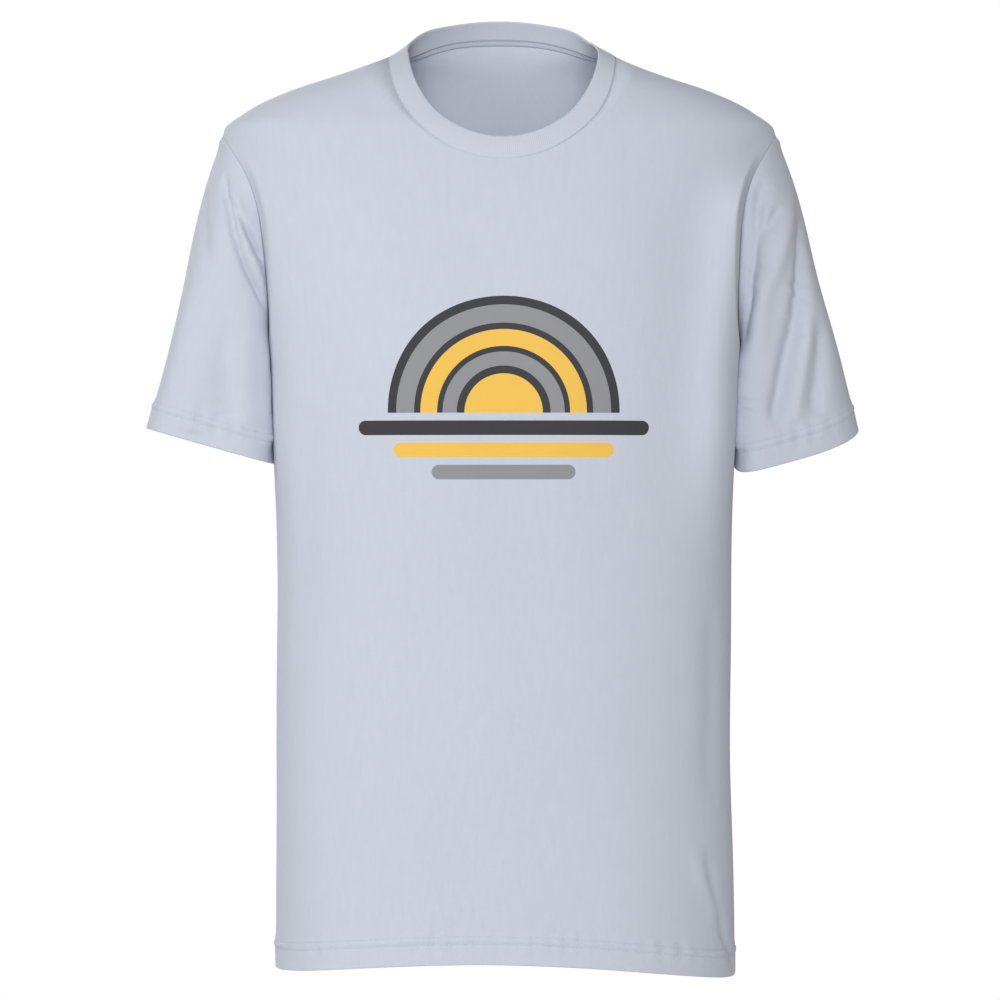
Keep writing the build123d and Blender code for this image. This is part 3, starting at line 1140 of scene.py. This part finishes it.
@dataclass
class Neckband:
    """A doubled band of rib round the neckline, folded at its free edge."""

    torso: Torso
    name: str = "neckband"
    thickness: float = 0.0020
    proud: float = 0.0004
    outward_lift: float = 0.02
    columns_front: int = 150
    columns_back: int = 120
    outer_rows: int = 12
    fold_rows: int = 6
    inner_rows: int = 9
    crown: float = 0.0003
    back_stand: float = 0.0025
    side_stand: float = 0.0022
    side_back: float = 0.054
    side_reach: float = 0.020
    shoulder_stand: float = 0.0020
    shoulder_lean: float = 0.0035
    shoulder_reach: float = 0.018
    smoothing: int = 6
    edge_smoothing: int = 60
    overlap: float = 0.06

    def ring(self, rise: float) -> np.ndarray:
        """A closed line round the neck, some way across the band.

        Args:
            rise: 0 at the seam, 1 at the free edge.

        Returns:
            Points from the wearer's right shoulder, by the front, to the left one and round the back.
        """
        fine = np.linspace(0.0, 1.0, LINE_POINTS)
        front = self.torso.front_line(fine, rise)
        back = self.torso.back_line(fine, rise)[::-1]
        back[:, 2] += self.back_stand * rise * np.sin(pi * fine)
        front = respaced(front, front, np.linspace(0.0, 1.0, self.columns_front))
        back = respaced(back, back, np.linspace(0.0, 1.0, self.columns_back))
        line = np.vstack([front[:-1], back[:-1]])
        for _ in range(self.smoothing + round(self.edge_smoothing * max(rise, 0.0))):
            line = 0.5 * line + 0.25 * (np.roll(line, 1, axis=0) + np.roll(line, -1, axis=0))
        run = along(np.vstack([line, line[:1]]))
        to_right = np.where(run[:-1] > run[-1] / 2, run[-1] - run[:-1], -run[:-1])
        behind = np.where(line[:, 0] < 0, to_right, run[:-1] - run[self.columns_front - 1])
        by_shoulder = rise * np.exp(-((behind / self.shoulder_reach) ** 2))
        by_back = rise * np.exp(-(((behind - self.side_back) / self.side_reach) ** 2))
        line[:, 0] -= np.sign(line[:, 0]) * self.shoulder_lean * rise * by_shoulder
        line[:, 2] += self.shoulder_stand * by_shoulder + self.side_stand * by_back
        return np.vstack([line, line[:1]])

    def build(self) -> bpy.types.Object:
        """Makes the band: outer face, rolled edge and inner face.

        Returns:
            The neckband.
        """
        rises = np.linspace(-self.overlap, 1.0, self.outer_rows)
        outer = np.array([self.ring(float(rise)) for rise in rises])
        outward = outer * np.array([1.0, 1.0, 0.0]) + np.array([0.0, 0.0, self.outward_lift])
        normals = closed_normals(outer, outward)
        lift = self.proud + self.crown * np.sin(pi * np.clip(rises, 0.0, 1.0))
        face = outer + normals * lift[:, None, None]
        up = face[-1] - face[-2]
        up = up / np.linalg.norm(up, axis=-1, keepdims=True)
        radius = self.thickness / 2
        rows = [face]
        for step in range(1, self.fold_rows + 1):
            angle = pi * step / (self.fold_rows + 1)
            rolled = normals[-1] * (cos(angle) - 1) + up * sin(angle)
            rows.append((face[-1] + rolled * radius)[None])
        places = np.linspace(self.outer_rows - 1, 0, self.inner_rows).round().astype(int)
        rows.append(face[places] - normals[places] * self.thickness)
        points = hung(np.concatenate(rows))
        around = along(outer[0])
        climb = np.linspace(0.0, 2 * self.torso.collar_width, len(points))
        chart = np.stack(np.broadcast_arrays(around[None, :], climb[:, None]), axis=-1)
        piece = cloth_mesh(self.name, points, chart, closed=True)
        self.close_seam(piece)
        return piece

    @staticmethod
    def close_seam(piece: bpy.types.Object) -> None:
        """Joins the band's two raw edges inside its seam and turns its faces outwards."""
        bm = bmesh.new()
        bm.from_mesh(piece.data)
        raw = [edge for edge in bm.edges if edge.is_boundary]
        bmesh.ops.bridge_loops(bm, edges=raw)
        for face in bm.faces:
            face.smooth = True
        bmesh.ops.recalc_face_normals(bm, faces=bm.faces)
        bm.to_mesh(piece.data)
        bm.free()


@dataclass
class NeckTape:
    """A narrow self tape that covers the back neck seam inside."""

    torso: Torso
    name: str = "back_neck_tape"
    width: float = 0.0044
    inset: float = 0.0013
    thickness: float = 0.0007
    columns: int = 140
    rows: int = 9
    end_margin: float = 0.004
    edge_roll: float = 0.0004
    stitch_inset: float = 0.0013
    stitch_dent: float = 0.0003
    stitch_dent_width: float = 0.0009
    points: np.ndarray = field(default_factory=lambda: np.zeros(0))
    normals: np.ndarray = field(default_factory=lambda: np.zeros(0))

    def build(self) -> bpy.types.Object:
        """Makes the tape, with rounded edges and two sewn lines.

        Returns:
            The tape.
        """
        share = np.linspace(self.end_margin, 1 - self.end_margin, self.columns)
        seam = self.torso.back_line(share, 0.0)
        angle = self.torso.angle_of(seam, Side.BACK)
        downs = np.linspace(0.0, self.width, self.rows)
        face = np.array([self.torso.point(angle, seam[:, 2] - down, Side.BACK) for down in downs])
        normals = normals_of(face, face * np.array([1.0, 1.0, 0.0]))
        across = downs / self.width
        bulge = self.edge_roll * (1 - np.abs(2 * across - 1) ** 4)
        for row in (self.stitch_inset, self.width - self.stitch_inset):
            bulge = bulge - self.stitch_dent * np.exp(-(((downs - row) / self.stitch_dent_width) ** 2))
        self.points = hung(face - normals * (self.inset + bulge)[:, None, None])
        self.normals = -normals
        run = along(seam)
        chart = np.stack(np.broadcast_arrays(run[None, :], downs[:, None]), axis=-1)
        piece = cloth_mesh(self.name, self.points, chart)
        self.face_inwards(piece)
        thicken(piece, self.thickness)
        return piece

    @staticmethod
    def face_inwards(piece: bpy.types.Object) -> None:
        """Turns the tape's faces towards the wearer's neck."""
        bm = bmesh.new()
        bm.from_mesh(piece.data)
        bmesh.ops.recalc_face_normals(bm, faces=bm.faces)
        rearmost = max(bm.faces, key=lambda face: face.calc_center_median().y)
        if rearmost.normal.y > 0:
            bmesh.ops.reverse_faces(bm, faces=bm.faces)
        bm.to_mesh(piece.data)
        bm.free()

    def sewn_lines(self) -> list[tuple[np.ndarray, np.ndarray]]:
        """The tape's two rows of stitches, each as points and normals."""
        last = self.rows - 1
        near = max(1, round(self.stitch_inset / self.width * last))
        return [(self.points[row], self.normals[row]) for row in (near, last - near)]


@dataclass
class Stitching:
    """Rows of short sewn stitches that lie on a cloth, joined in one mesh."""

    name: str
    length: float = 0.0029
    pitch: float = 0.0036
    width: float = 0.0006
    height: float = 0.0005
    around: int = 6
    sections: int = 5
    margin: float = 0.002
    raised: float = 0.2

    def build(self, lines: list[tuple[np.ndarray, np.ndarray]]) -> bpy.types.Object:
        """Sews the rows.

        Args:
            lines: for each row, its points and the cloth's normals there.

        Returns:
            The joined stitches.
        """
        bm = bmesh.new()
        for points, normals in lines:
            length = along(points)[-1]
            count = int((length - 2 * self.margin) / self.pitch)
            start = self.margin + self.pitch / 2
            places = (start + np.arange(count) * self.pitch) / length
            here = respaced(points, points, places)
            ahead = respaced(points, points, np.minimum(places + self.length / 2 / length, 1.0))
            out = respaced(normals, points, places)
            for spot, onward, normal in zip(here, ahead, out):
                self.add_stitch(bm, Vector(spot), Vector(onward - spot), Vector(normal))
        for face in bm.faces:
            face.smooth = True
        return linked(self.name, bm)

    def add_stitch(self, bm: bmesh.types.BMesh, spot: Vector, run: Vector, normal: Vector) -> None:
        """Adds one stitch.

        Args:
            bm: the mesh that takes it.
            spot: its middle, on the cloth.
            run: the way it lies.
            normal: the cloth's normal there.
        """
        x = run.normalized()
        z = (normal - x * normal.dot(x)).normalized()
        y = z.cross(x)
        turn = Matrix((x, y, z)).transposed().to_4x4()
        sizes = Matrix.Diagonal((self.length / 2, self.width / 2, self.height / 2, 1.0))
        place = Matrix.Translation(spot + z * self.height * self.raised) @ turn @ sizes
        bmesh.ops.create_uvsphere(
            bm, u_segments=self.around, v_segments=self.sections, radius=1.0, matrix=place
        )


# A node and the output of it that feeds another node
Link = tuple[bpy.types.Node, str | int]


def add_node(
    tree: bpy.types.NodeTree,
    kind: str,
    settings: dict[str | int, object] | None = None,
    links: dict[str | int, Link] | None = None,
) -> bpy.types.Node:
    """Adds a node with its settings and its links.

    Args:
        tree: the node tree.
        kind: the node's type, without the ShaderNode that each type's name starts with.
        settings: values for its own properties, or for its inputs by name.
        links: for each input, the node and output that feed it.

    Returns:
        The new node.
    """
    node = tree.nodes.new("ShaderNode" + kind)
    for name, value in (settings or {}).items():
        if isinstance(name, str) and hasattr(node, name):
            setattr(node, name, value)
        else:
            node.inputs[name].default_value = value
    for name, (source, output) in (links or {}).items():
        tree.links.new(source.outputs[output], node.inputs[name])
    return node


def wave_scale(period: float) -> float:
    """The Wave Texture's scale that gives bands of a period in metres."""
    return 2 * pi / 20 / period


@dataclass(frozen=True)
class ChestPrint:
    """A screen print in plastisol: a half disc with rings over three rounded bars.

    The ink lies on the knit as a thin even film, so its colours are flat and its surface is a
    little smoother than the cloth.
    """

    base_height: float = -0.289
    outer_radius: float = 0.0900
    ring_ends: tuple[float, ...] = (0.0300, 0.0360, 0.0470, 0.0510, 0.0640, 0.0690, 0.0830)
    ring_colours: tuple[str, ...] = ("EFC053", "34363A", "8E9094", "34363A")
    ring_repeats: int = 2
    bar_heights: tuple[float, ...] = (-0.3005, -0.3175, -0.3345)
    bar_half_lengths: tuple[float, ...] = (0.1140, 0.0860, 0.0560)
    bar_half_width: float = 0.0056
    bar_colours: tuple[str, ...] = ("34363A", "EFC053", "8E9094")
    roughness: float = 0.62

    def ink(self, tree: bpy.types.NodeTree, cloth: bpy.types.Node) -> tuple[Link, Link]:
        """Adds the nodes that draw the print on the flat cloth's chart.

        Args:
            tree: the front panel's node tree.
            cloth: the node whose UV output gives the place on the cloth.

        Returns:
            The ink's colour and its cover, from 0 to 1, each as a node and its output.
        """
        split = add_node(tree, "SeparateXYZ", links={0: (cloth, "UV")})
        rise = add_node(tree, "Math", {"operation": "SUBTRACT", 1: self.base_height}, {0: (split, "Y")})
        flat = add_node(tree, "CombineXYZ", links={"X": (split, "X"), "Y": (rise, 0)})
        radius = add_node(tree, "VectorMath", {"operation": "LENGTH"}, {0: (flat, 0)})
        shared = {"operation": "DIVIDE", 1: self.outer_radius}
        share = add_node(tree, "Math", shared, {0: (radius, "Value")})
        rings = add_node(tree, "ValToRGB", links={0: (share, 0)})
        ramp = rings.color_ramp
        ramp.interpolation = "CONSTANT"
        ramp.elements.remove(ramp.elements[1])
        codes = self.ring_colours * self.ring_repeats
        ramp.elements[0].color = linear(codes[0])
        for end, code in zip(self.ring_ends, codes[1:]):
            stop = ramp.elements.new(end / self.outer_radius)
            stop.color = linear(code)
        inside = add_node(tree, "Math", {"operation": "LESS_THAN", 1: 1.0}, {0: (share, 0)})
        above = add_node(tree, "Math", {"operation": "GREATER_THAN", 1: 0.0}, {0: (rise, 0)})
        cover = add_node(tree, "Math", {"operation": "MULTIPLY"}, {0: (inside, 0), 1: (above, 0)})
        colour = (rings, "Color")
        reach = add_node(tree, "Math", {"operation": "ABSOLUTE"}, {0: (split, "X")})
        for height, half_length, code in zip(self.bar_heights, self.bar_half_lengths, self.bar_colours):
            straight = half_length - self.bar_half_width
            past = add_node(tree, "Math", {"operation": "SUBTRACT", 1: straight}, {0: (reach, 0)})
            held = add_node(tree, "Math", {"operation": "MAXIMUM", 1: 0.0}, {0: (past, 0)})
            off = add_node(tree, "Math", {"operation": "SUBTRACT", 1: height}, {0: (split, "Y")})
            away = add_node(tree, "CombineXYZ", links={"X": (held, 0), "Y": (off, 0)})
            size = add_node(tree, "VectorMath", {"operation": "LENGTH"}, {0: (away, 0)})
            within = {"operation": "LESS_THAN", 1: self.bar_half_width}
            bar = add_node(tree, "Math", within, {0: (size, "Value")})
            tone = {"data_type": "RGBA", 7: linear(code)}
            colour = (add_node(tree, "Mix", tone, {0: (bar, 0), 6: colour}), 2)
            cover = add_node(tree, "Math", {"operation": "MAXIMUM"}, {0: (cover, 0), 1: (bar, 0)})
        return colour, (cover, 0)


@dataclass(frozen=True, kw_only=True)
class Finish:
    """A dyed material: its two tones, and how its surface sends back light."""

    name: str
    colour: str
    shade: str
    roughness: float
    specular: float
    sheen: float = 0.0
    sheen_roughness: float = 0.6

    @property
    def tones(self) -> dict[str | int, object]:
        """Settings of a colour mix that runs from the darker tone to the paler one."""
        return {"data_type": "RGBA", 6: linear(self.shade), 7: linear(self.colour)}

    def started(self, ending: str = "") -> tuple[bpy.types.Material, bpy.types.NodeTree, bpy.types.Node]:
        """Starts a material with the finish's gloss and sheen.

        Args:
            ending: what its name adds to the finish's own.

        Returns:
            The material, its node tree and its shader.
        """
        material = bpy.data.materials.new(self.name + ending)
        material.use_nodes = True
        shader = material.node_tree.nodes["Principled BSDF"]
        shader.inputs["Roughness"].default_value = self.roughness
        shader.inputs["Sheen Weight"].default_value = self.sheen
        shader.inputs["Sheen Roughness"].default_value = self.sheen_roughness
        shader.inputs["Specular IOR Level"].default_value = self.specular
        return material, material.node_tree, shader


@dataclass(frozen=True, kw_only=True)
class Jersey(Finish):
    """Combed cotton single jersey, knitted fine and piece dyed: matt, with a faint vertical grain."""

    name: str = "cotton jersey, knitted and dyed"
    colour: str = "CACFDB"
    shade: str = "C3C8D5"
    roughness: float = 0.92
    specular: float = 0.18
    sheen: float = 0.12
    wale: float = 1.5 * MM  # real wales are 0.7 mm apart, too fine to show
    course: float = 1.2 * MM
    slub: float = 4.0 * MM
    slub_stretch: float = 0.18
    unevenness: float = 0.6
    grain_height: float = 0.00009
    grain_strength: float = 0.5

    def material(self, chest: ChestPrint | None = None) -> bpy.types.Material:
        """Makes the cloth's material.

        Args:
            chest: a print to draw on it, or none.

        Returns:
            The material.
        """
        material, tree, shader = self.started("" if chest is None else ", screen printed")
        cloth = add_node(tree, "UVMap", {"uv_map": "cloth"})
        stretch = (1 / self.slub, self.slub_stretch / self.slub, 1.0)
        streaks = add_node(tree, "Mapping", {"Scale": stretch}, {0: (cloth, "UV")})
        uneven = {"Scale": 1.0, "Detail": 3.0, "Roughness": self.unevenness}
        slub = add_node(tree, "TexNoise", uneven, {"Vector": (streaks, 0)})
        dye_and_shade = add_node(tree, "Mix", self.tones, {0: (slub, 0)})
        bands = []
        for way, period in (("X", self.wale), ("Y", self.course)):
            rows = {"bands_direction": way, "Scale": wave_scale(period)}
            rows.update({"Distortion": self.unevenness, "Detail": 1.0})
            bands.append(add_node(tree, "TexWave", rows, {"Vector": (cloth, "UV")}))
        wales, courses = bands
        knit = add_node(tree, "Math", {"operation": "MULTIPLY"}, {0: (wales, 1), 1: (courses, 1)})
        grain = add_node(tree, "Math", {"operation": "ADD"}, {0: (knit, 0), 1: (slub, 0)})
        relief = {"Strength": self.grain_strength, "Distance": self.grain_height}
        bump = add_node(tree, "Bump", relief, {"Height": (grain, 0)})
        tree.links.new(bump.outputs[0], shader.inputs["Normal"])
        if chest is None:
            tree.links.new(dye_and_shade.outputs[2], shader.inputs["Base Color"])
            return material
        ink, cover = chest.ink(tree, cloth)
        printed = add_node(tree, "Mix", {"data_type": "RGBA"}, {0: cover, 6: (dye_and_shade, 2), 7: ink})
        film = {"To Min": self.roughness, "To Max": chest.roughness}
        gloss = add_node(tree, "MapRange", film, {"Value": cover})
        tree.links.new(printed.outputs[2], shader.inputs["Base Color"])
        tree.links.new(gloss.outputs[0], shader.inputs["Roughness"])
        return material


@dataclass(frozen=True, kw_only=True)
class Rib(Finish):
    """One-by-one cotton rib, dyed with the jersey: fine ridges across the band, each hollow darkened with
    painted shade.
    """

    name: str = "cotton rib, knitted and dyed"
    colour: str = "CBD0DC"
    shade: str = "C4C9D6"
    roughness: float = 0.9
    specular: float = 0.18
    sheen: float = 0.12
    ridge: float = 1.6 * MM  # real ridges are about 1 mm apart, drawn coarser so that they show
    ridge_wander: float = 0.4
    ridge_height: float = 0.00016
    ridge_strength: float = 0.5

    def material(self) -> bpy.types.Material:
        """Makes the rib's material.

        Returns:
            The material.
        """
        material, tree, shader = self.started()
        cloth = add_node(tree, "UVMap", {"uv_map": "cloth"})
        rows = {"bands_direction": "X", "Scale": wave_scale(self.ridge)}
        rows.update({"Distortion": self.ridge_wander, "Detail": 1.0})
        ridges = add_node(tree, "TexWave", rows, {"Vector": (cloth, "UV")})
        # Painted shade: the hollows between the ridges take the darker tone, where the bump below sinks them
        dye_and_shade = add_node(tree, "Mix", self.tones, {0: (ridges, 1)})
        relief = {"Strength": self.ridge_strength, "Distance": self.ridge_height}
        bump = add_node(tree, "Bump", relief, {"Height": (ridges, 1)})
        tree.links.new(dye_and_shade.outputs[2], shader.inputs["Base Color"])
        tree.links.new(bump.outputs[0], shader.inputs["Normal"])
        return material


@dataclass(frozen=True, kw_only=True)
class Thread(Finish):
    """Spun polyester thread, dyed to match: two plies twisted, drawn as bands of painted shade, a little
    glossier than the cloth.
    """

    name: str = "polyester thread, spun and dyed"
    colour: str = "CDD2DE"
    shade: str = "BCC1CE"
    roughness: float = 0.6
    specular: float = 0.3
    ply: float = 0.8 * MM  # a real thread's twist is shorter, too fine to show

    def material(self) -> bpy.types.Material:
        """Makes the thread's material.

        Returns:
            The material.
        """
        material, tree, shader = self.started()
        place = add_node(tree, "TexCoord")
        rows = {"bands_direction": "DIAGONAL", "Scale": wave_scale(self.ply)}
        twist = add_node(tree, "TexWave", rows, {"Vector": (place, "Object")})
        # Painted shade: the darker tone runs in bands along the twist, where the grooves between the plies
        # lie
        dye_and_shade = add_node(tree, "Mix", self.tones, {0: (twist, 1)})
        tree.links.new(dye_and_shade.outputs[2], shader.inputs["Base Color"])
        return material


@dataclass(frozen=True)
class Lamp:
    """A square area lamp that faces the shirt's middle."""

    name: str
    place: tuple[float, float, float]
    size: float
    power: float
    aim: tuple[float, float, float] = (0.0, 0.0, -0.35)

    def build(self) -> None:
        """Adds the lamp to the scene."""
        data = bpy.data.lights.new(self.name, "AREA")
        data.size = self.size
        data.energy = self.power
        lamp = bpy.data.objects.new(self.name, data)
        lamp.location = self.place
        way = Vector(self.aim) - Vector(self.place)
        lamp.rotation_euler = way.to_track_quat("-Z", "Y").to_euler()
        bpy.context.scene.collection.objects.link(lamp)


@dataclass(frozen=True)
class Studio:
    """A white studio: soft lamps at the left, above the camera and behind, over a pale floor."""

    floor_height: float = -1.45
    floor_radius: float = 2.6
    floor_fade: tuple[float, float] = (0.45, 0.97)
    floor_sides: int = 96
    floor_colour: str = "F4F4F3"
    floor_roughness: float = 0.9
    ambient: float = 0.285
    lamps: tuple[Lamp, ...] = (
        Lamp("key", (-3.0, -1.4, 0.7), 1.8, 33.0),
        Lamp("front", (0.0, -3.1, 0.5), 1.2, 58.0),
        Lamp("back", (-1.2, 2.9, 0.9), 2.0, 46.0),
    )

    def build(self) -> None:
        """Sets up the world, floor, lamps and camera."""
        self.world()
        self.floor()
        for lamp in self.lamps:
            lamp.build()
        self.camera()
        bpy.context.scene.view_settings.view_transform = "Standard"

    def world(self) -> None:
        """Makes the world white to the eye and a plain grey light to the cloth."""
        world = bpy.data.worlds.new("white studio")
        bpy.context.scene.world = world
        world.use_nodes = True
        tree = world.node_tree
        tree.nodes.clear()
        path = add_node(tree, "LightPath")
        either = {"operation": "MAXIMUM"}
        seen = add_node(tree, "Math", either, {0: (path, "Is Camera Ray"), 1: (path, "Is Glossy Ray")})
        through = add_node(tree, "Math", either, {0: (seen, 0), 1: (path, "Is Transmission Ray")})
        levels = {"To Min": self.ambient, "To Max": 1.0}
        strength = add_node(tree, "MapRange", levels, {"Value": (through, 0)})
        white = {"Color": (1.0, 1.0, 1.0, 1.0)}
        light = add_node(tree, "Background", white, {"Strength": (strength, 0)})
        add_node(tree, "OutputWorld", links={"Surface": (light, 0)})

    def floor(self) -> None:
        """Lays a pale round floor that fades into the white background."""
        bm = bmesh.new()
        low = Matrix.Translation((0.0, 0.0, self.floor_height))
        sides = self.floor_sides
        bmesh.ops.create_circle(bm, cap_ends=True, segments=sides, radius=self.floor_radius, matrix=low)
        floor = linked("studio_floor", bm)
        material = bpy.data.materials.new("painted studio floor")
        material.use_nodes = True
        tree = material.node_tree
        shader = tree.nodes["Principled BSDF"]
        shader.inputs["Base Color"].default_value = linear(self.floor_colour)
        shader.inputs["Roughness"].default_value = self.floor_roughness
        place = add_node(tree, "TexCoord")
        flat = {"operation": "MULTIPLY", 1: (1.0, 1.0, 0.0)}
        level = add_node(tree, "VectorMath", flat, {0: (place, "Object")})
        radius = add_node(tree, "VectorMath", {"operation": "LENGTH"}, {0: (level, 0)})
        near, far = self.floor_fade
        span = {"From Min": near * self.floor_radius, "From Max": far * self.floor_radius}
        eased = {"interpolation_type": "SMOOTHSTEP"} | span
        fade = add_node(tree, "MapRange", eased, {"Value": (radius, "Value")})
        clear = add_node(tree, "BsdfTransparent")
        mixed = add_node(tree, "MixShader", links={0: (fade, 0), 1: (shader, 0), 2: (clear, 0)})
        tree.links.new(mixed.outputs[0], tree.nodes["Material Output"].inputs["Surface"])
        floor.data.materials.append(material)

    def camera(self) -> None:
        """Stands the camera level with the shirt's middle, straight in front."""
        data = bpy.data.cameras.new("camera")
        data.lens = CAMERA_LENS
        data.sensor_width = CAMERA_SENSOR
        camera = bpy.data.objects.new("camera", data)
        camera.location = CAMERA_PLACE
        camera.rotation_euler = (pi / 2, 0.0, 0.0)
        bpy.context.scene.collection.objects.link(camera)
        bpy.context.scene.camera = camera


FRONT_FOLDS = (
    Fold(((164, -420), (166, -520), (164, -620)), 12, -2.0),
    Fold(((149, -625), (162, -665), (176, -700)), 8, 2.2),
    Fold(((157, -630), (170, -684), (182, -724)), 6, -2.6, fade_end=0.0),
    Fold(((-160, -250), (-158, -380), (-160, -520)), 14, -1.4),
    Fold(((-176, -262), (-150, -280), (-118, -290)), 9, 1.0),
)

BACK_FOLDS = (
    Fold(((-95, -150), (-88, -300), (-92, -470), (-97, -640)), 18, -4.0, Side.BACK),
    Fold(((-66, -190), (-60, -330), (-64, -480), (-70, -660)), 15, 3.0, Side.BACK),
    Fold(((102, -160), (95, -320), (98, -500), (104, -690)), 18, -4.2, Side.BACK),
    Fold(((126, -240), (122, -380), (124, -560), (130, -680)), 13, 3.0, Side.BACK),
    Fold(((20, -260), (16, -400), (22, -560), (18, -690)), 22, -3.0, Side.BACK),
    Fold(((-178, -255), (-148, -285), (-110, -318)), 9, 2.2, Side.BACK),
    Fold(((176, -255), (150, -290), (116, -322)), 9, 2.2, Side.BACK),
)

RIGHT_SLEEVE_FOLDS = (
    Fold(((-221, -93), (-219, -116), (-213, -143), (-204, -171), (-194, -192), (-190, -204)), 3.4, -4.6,
         fade_start=0.15, fade_end=0.15),
    Fold(((-214, -100), (-211, -122), (-205, -150), (-196, -174), (-188, -192)), 4.2, 3.2),
    Fold(((-214, -110), (-212, -122), (-204, -139), (-194, -158), (-192, -166)), 3.0, -4.0,
         fade_end=0.15),
    Fold(((-236, -104), (-237, -140), (-236, -180)), 7, -2.4),
    Fold(((-222, -207), (-221, -250), (-219, -296)), 10, -3.4, fade_end=0.1),
    Fold(((-240, -230), (-246, -270), (-250, -305)), 11, 2.2, fade_end=0.1),
    Fold(((-195, -215), (-192, -262), (-190, -305)), 9, 4.5, fade_end=0.0),
    Fold(((-232, -120), (-236, -190), (-244, -280)), 12, -3.0, Side.BACK, fade_end=0.1),
    Fold(((-208, -130), (-210, -200), (-214, -290)), 9, 3.2, Side.BACK, fade_end=0.1),
    Fold(((-194, -160), (-194, -230), (-196, -300)), 8, -3.6, Side.BACK, fade_end=0.1),
)

LEFT_SLEEVE_FOLDS = (
    Fold(((214, -96), (207, -119), (201, -162), (195, -201), (192, -236)), 6.0, -6.0, fade_start=0.2),
    Fold(((234, -104), (222, -160), (208, -194), (199, -250), (193, -290)), 8.0, 4.2, fade_end=0.1),
    Fold(((195, -222), (192, -262), (190, -305)), 9.0, 6.0, fade_end=0.0),
    Fold(((225, -122), (216, -134), (206, -150)), 4.5, -3.8),
    Fold(((238, -124), (240, -172), (235, -210), (226, -246), (215, -300)), 7.0, -8.6, fade_end=0.1),
    Fold(((246, -200), (240, -246), (233, -298)), 6.0, 2.4, fade_end=0.1),
    Fold(((250, -206), (254, -228), (252, -252), (247, -292)), 7.0, -4.8, fade_end=0.15),
    Fold(((232, -120), (236, -190), (246, -280)), 12, -3.4, Side.BACK, fade_end=0.1),
    Fold(((210, -130), (210, -200), (216, -290)), 9, 3.4, Side.BACK, fade_end=0.1),
    Fold(((195, -160), (194, -230), (197, -300)), 8, -3.8, Side.BACK, fade_end=0.1),
)


def dress(
    piece: bpy.types.Object,
    material: bpy.types.Material,
    inside: bpy.types.Material | None = None,
) -> None:
    """Gives a piece its material and its slot and lets it ride on the shirt.

    Args:
        piece: the finished piece.
        material: its material.
        inside: the material of a cloth's inner face, where it differs.
    """
    piece.data.materials.clear()
    piece.data.materials.append(material)
    if inside is not None:
        piece.data.materials.append(inside)
        piece.modifiers["thickness"].material_offset = 1
    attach(piece, BODY)
    log.info("%s: %d faces", piece.name, len(piece.data.polygons))


def main() -> None:
    """Builds the shirt's pieces in the order that they are sewn."""
    torso = Torso()
    arm = SleeveForm(torso)
    jersey = Jersey()
    plain = jersey.material()
    # The inner face is painted paler than the outside: painted light that stands in for the light which
    # comes through the thin cloth and brightens the inside of the neck
    purl_painted_light = Jersey(name="cotton jersey, purl face", colour="D9DFED", shade="D2D8E6").material()
    printed = jersey.material(ChestPrint())
    rib = Rib().material()
    thread = Thread().material()

    edges = (ForwardEdge(Hand.LEFT, 0.032), ForwardEdge(Hand.RIGHT, 0.012))
    front = BodyPanel(
        torso=torso, arm=arm, side=Side.FRONT, name="front_panel", folds=FRONT_FOLDS, forward=edges
    )
    back = BodyPanel(torso=torso, arm=arm, side=Side.BACK, name="back_panel", folds=BACK_FOLDS)
    for panel, node, finish in ((front, "body_front", printed), (back, "body_back", plain)):
        piece = panel.build()
        # The inner faces take the paler purl jersey, whose colour is painted light
        dress(piece, finish, purl_painted_light)
        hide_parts(node)

    right = Sleeve(torso=torso, arm=arm, hand=Hand.RIGHT, name="right_sleeve", folds=RIGHT_SLEEVE_FOLDS)
    left = Sleeve(
        torso=torso,
        arm=arm,
        hand=Hand.LEFT,
        name="left_sleeve",
        folds=LEFT_SLEEVE_FOLDS,
        hem_dip=0.0105,
        turned_out=0.30,
    )
    for sleeve, node in ((right, "sleeve_right"), (left, "sleeve_left")):
        piece = sleeve.build()
        dress(piece, plain)
        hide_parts(node)

    piece = Neckband(torso).build()
    dress(piece, rib)
    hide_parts("neck_rib")

    tape = NeckTape(torso)
    piece = tape.build()
    dress(piece, plain)
    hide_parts("neck_tape")

    body_hem = front.sewn_lines() + back.sewn_lines()
    dress(Stitching("hem_stitches").build(body_hem), thread)
    for sleeve in (right, left):
        stitches = Stitching(sleeve.name + "_stitches").build(sleeve.sewn_lines())
        dress(stitches, thread)
    dress(Stitching("tape_stitches").build(tape.sewn_lines()), thread)

    Studio().build()


if __name__ == "__main__":
    main()
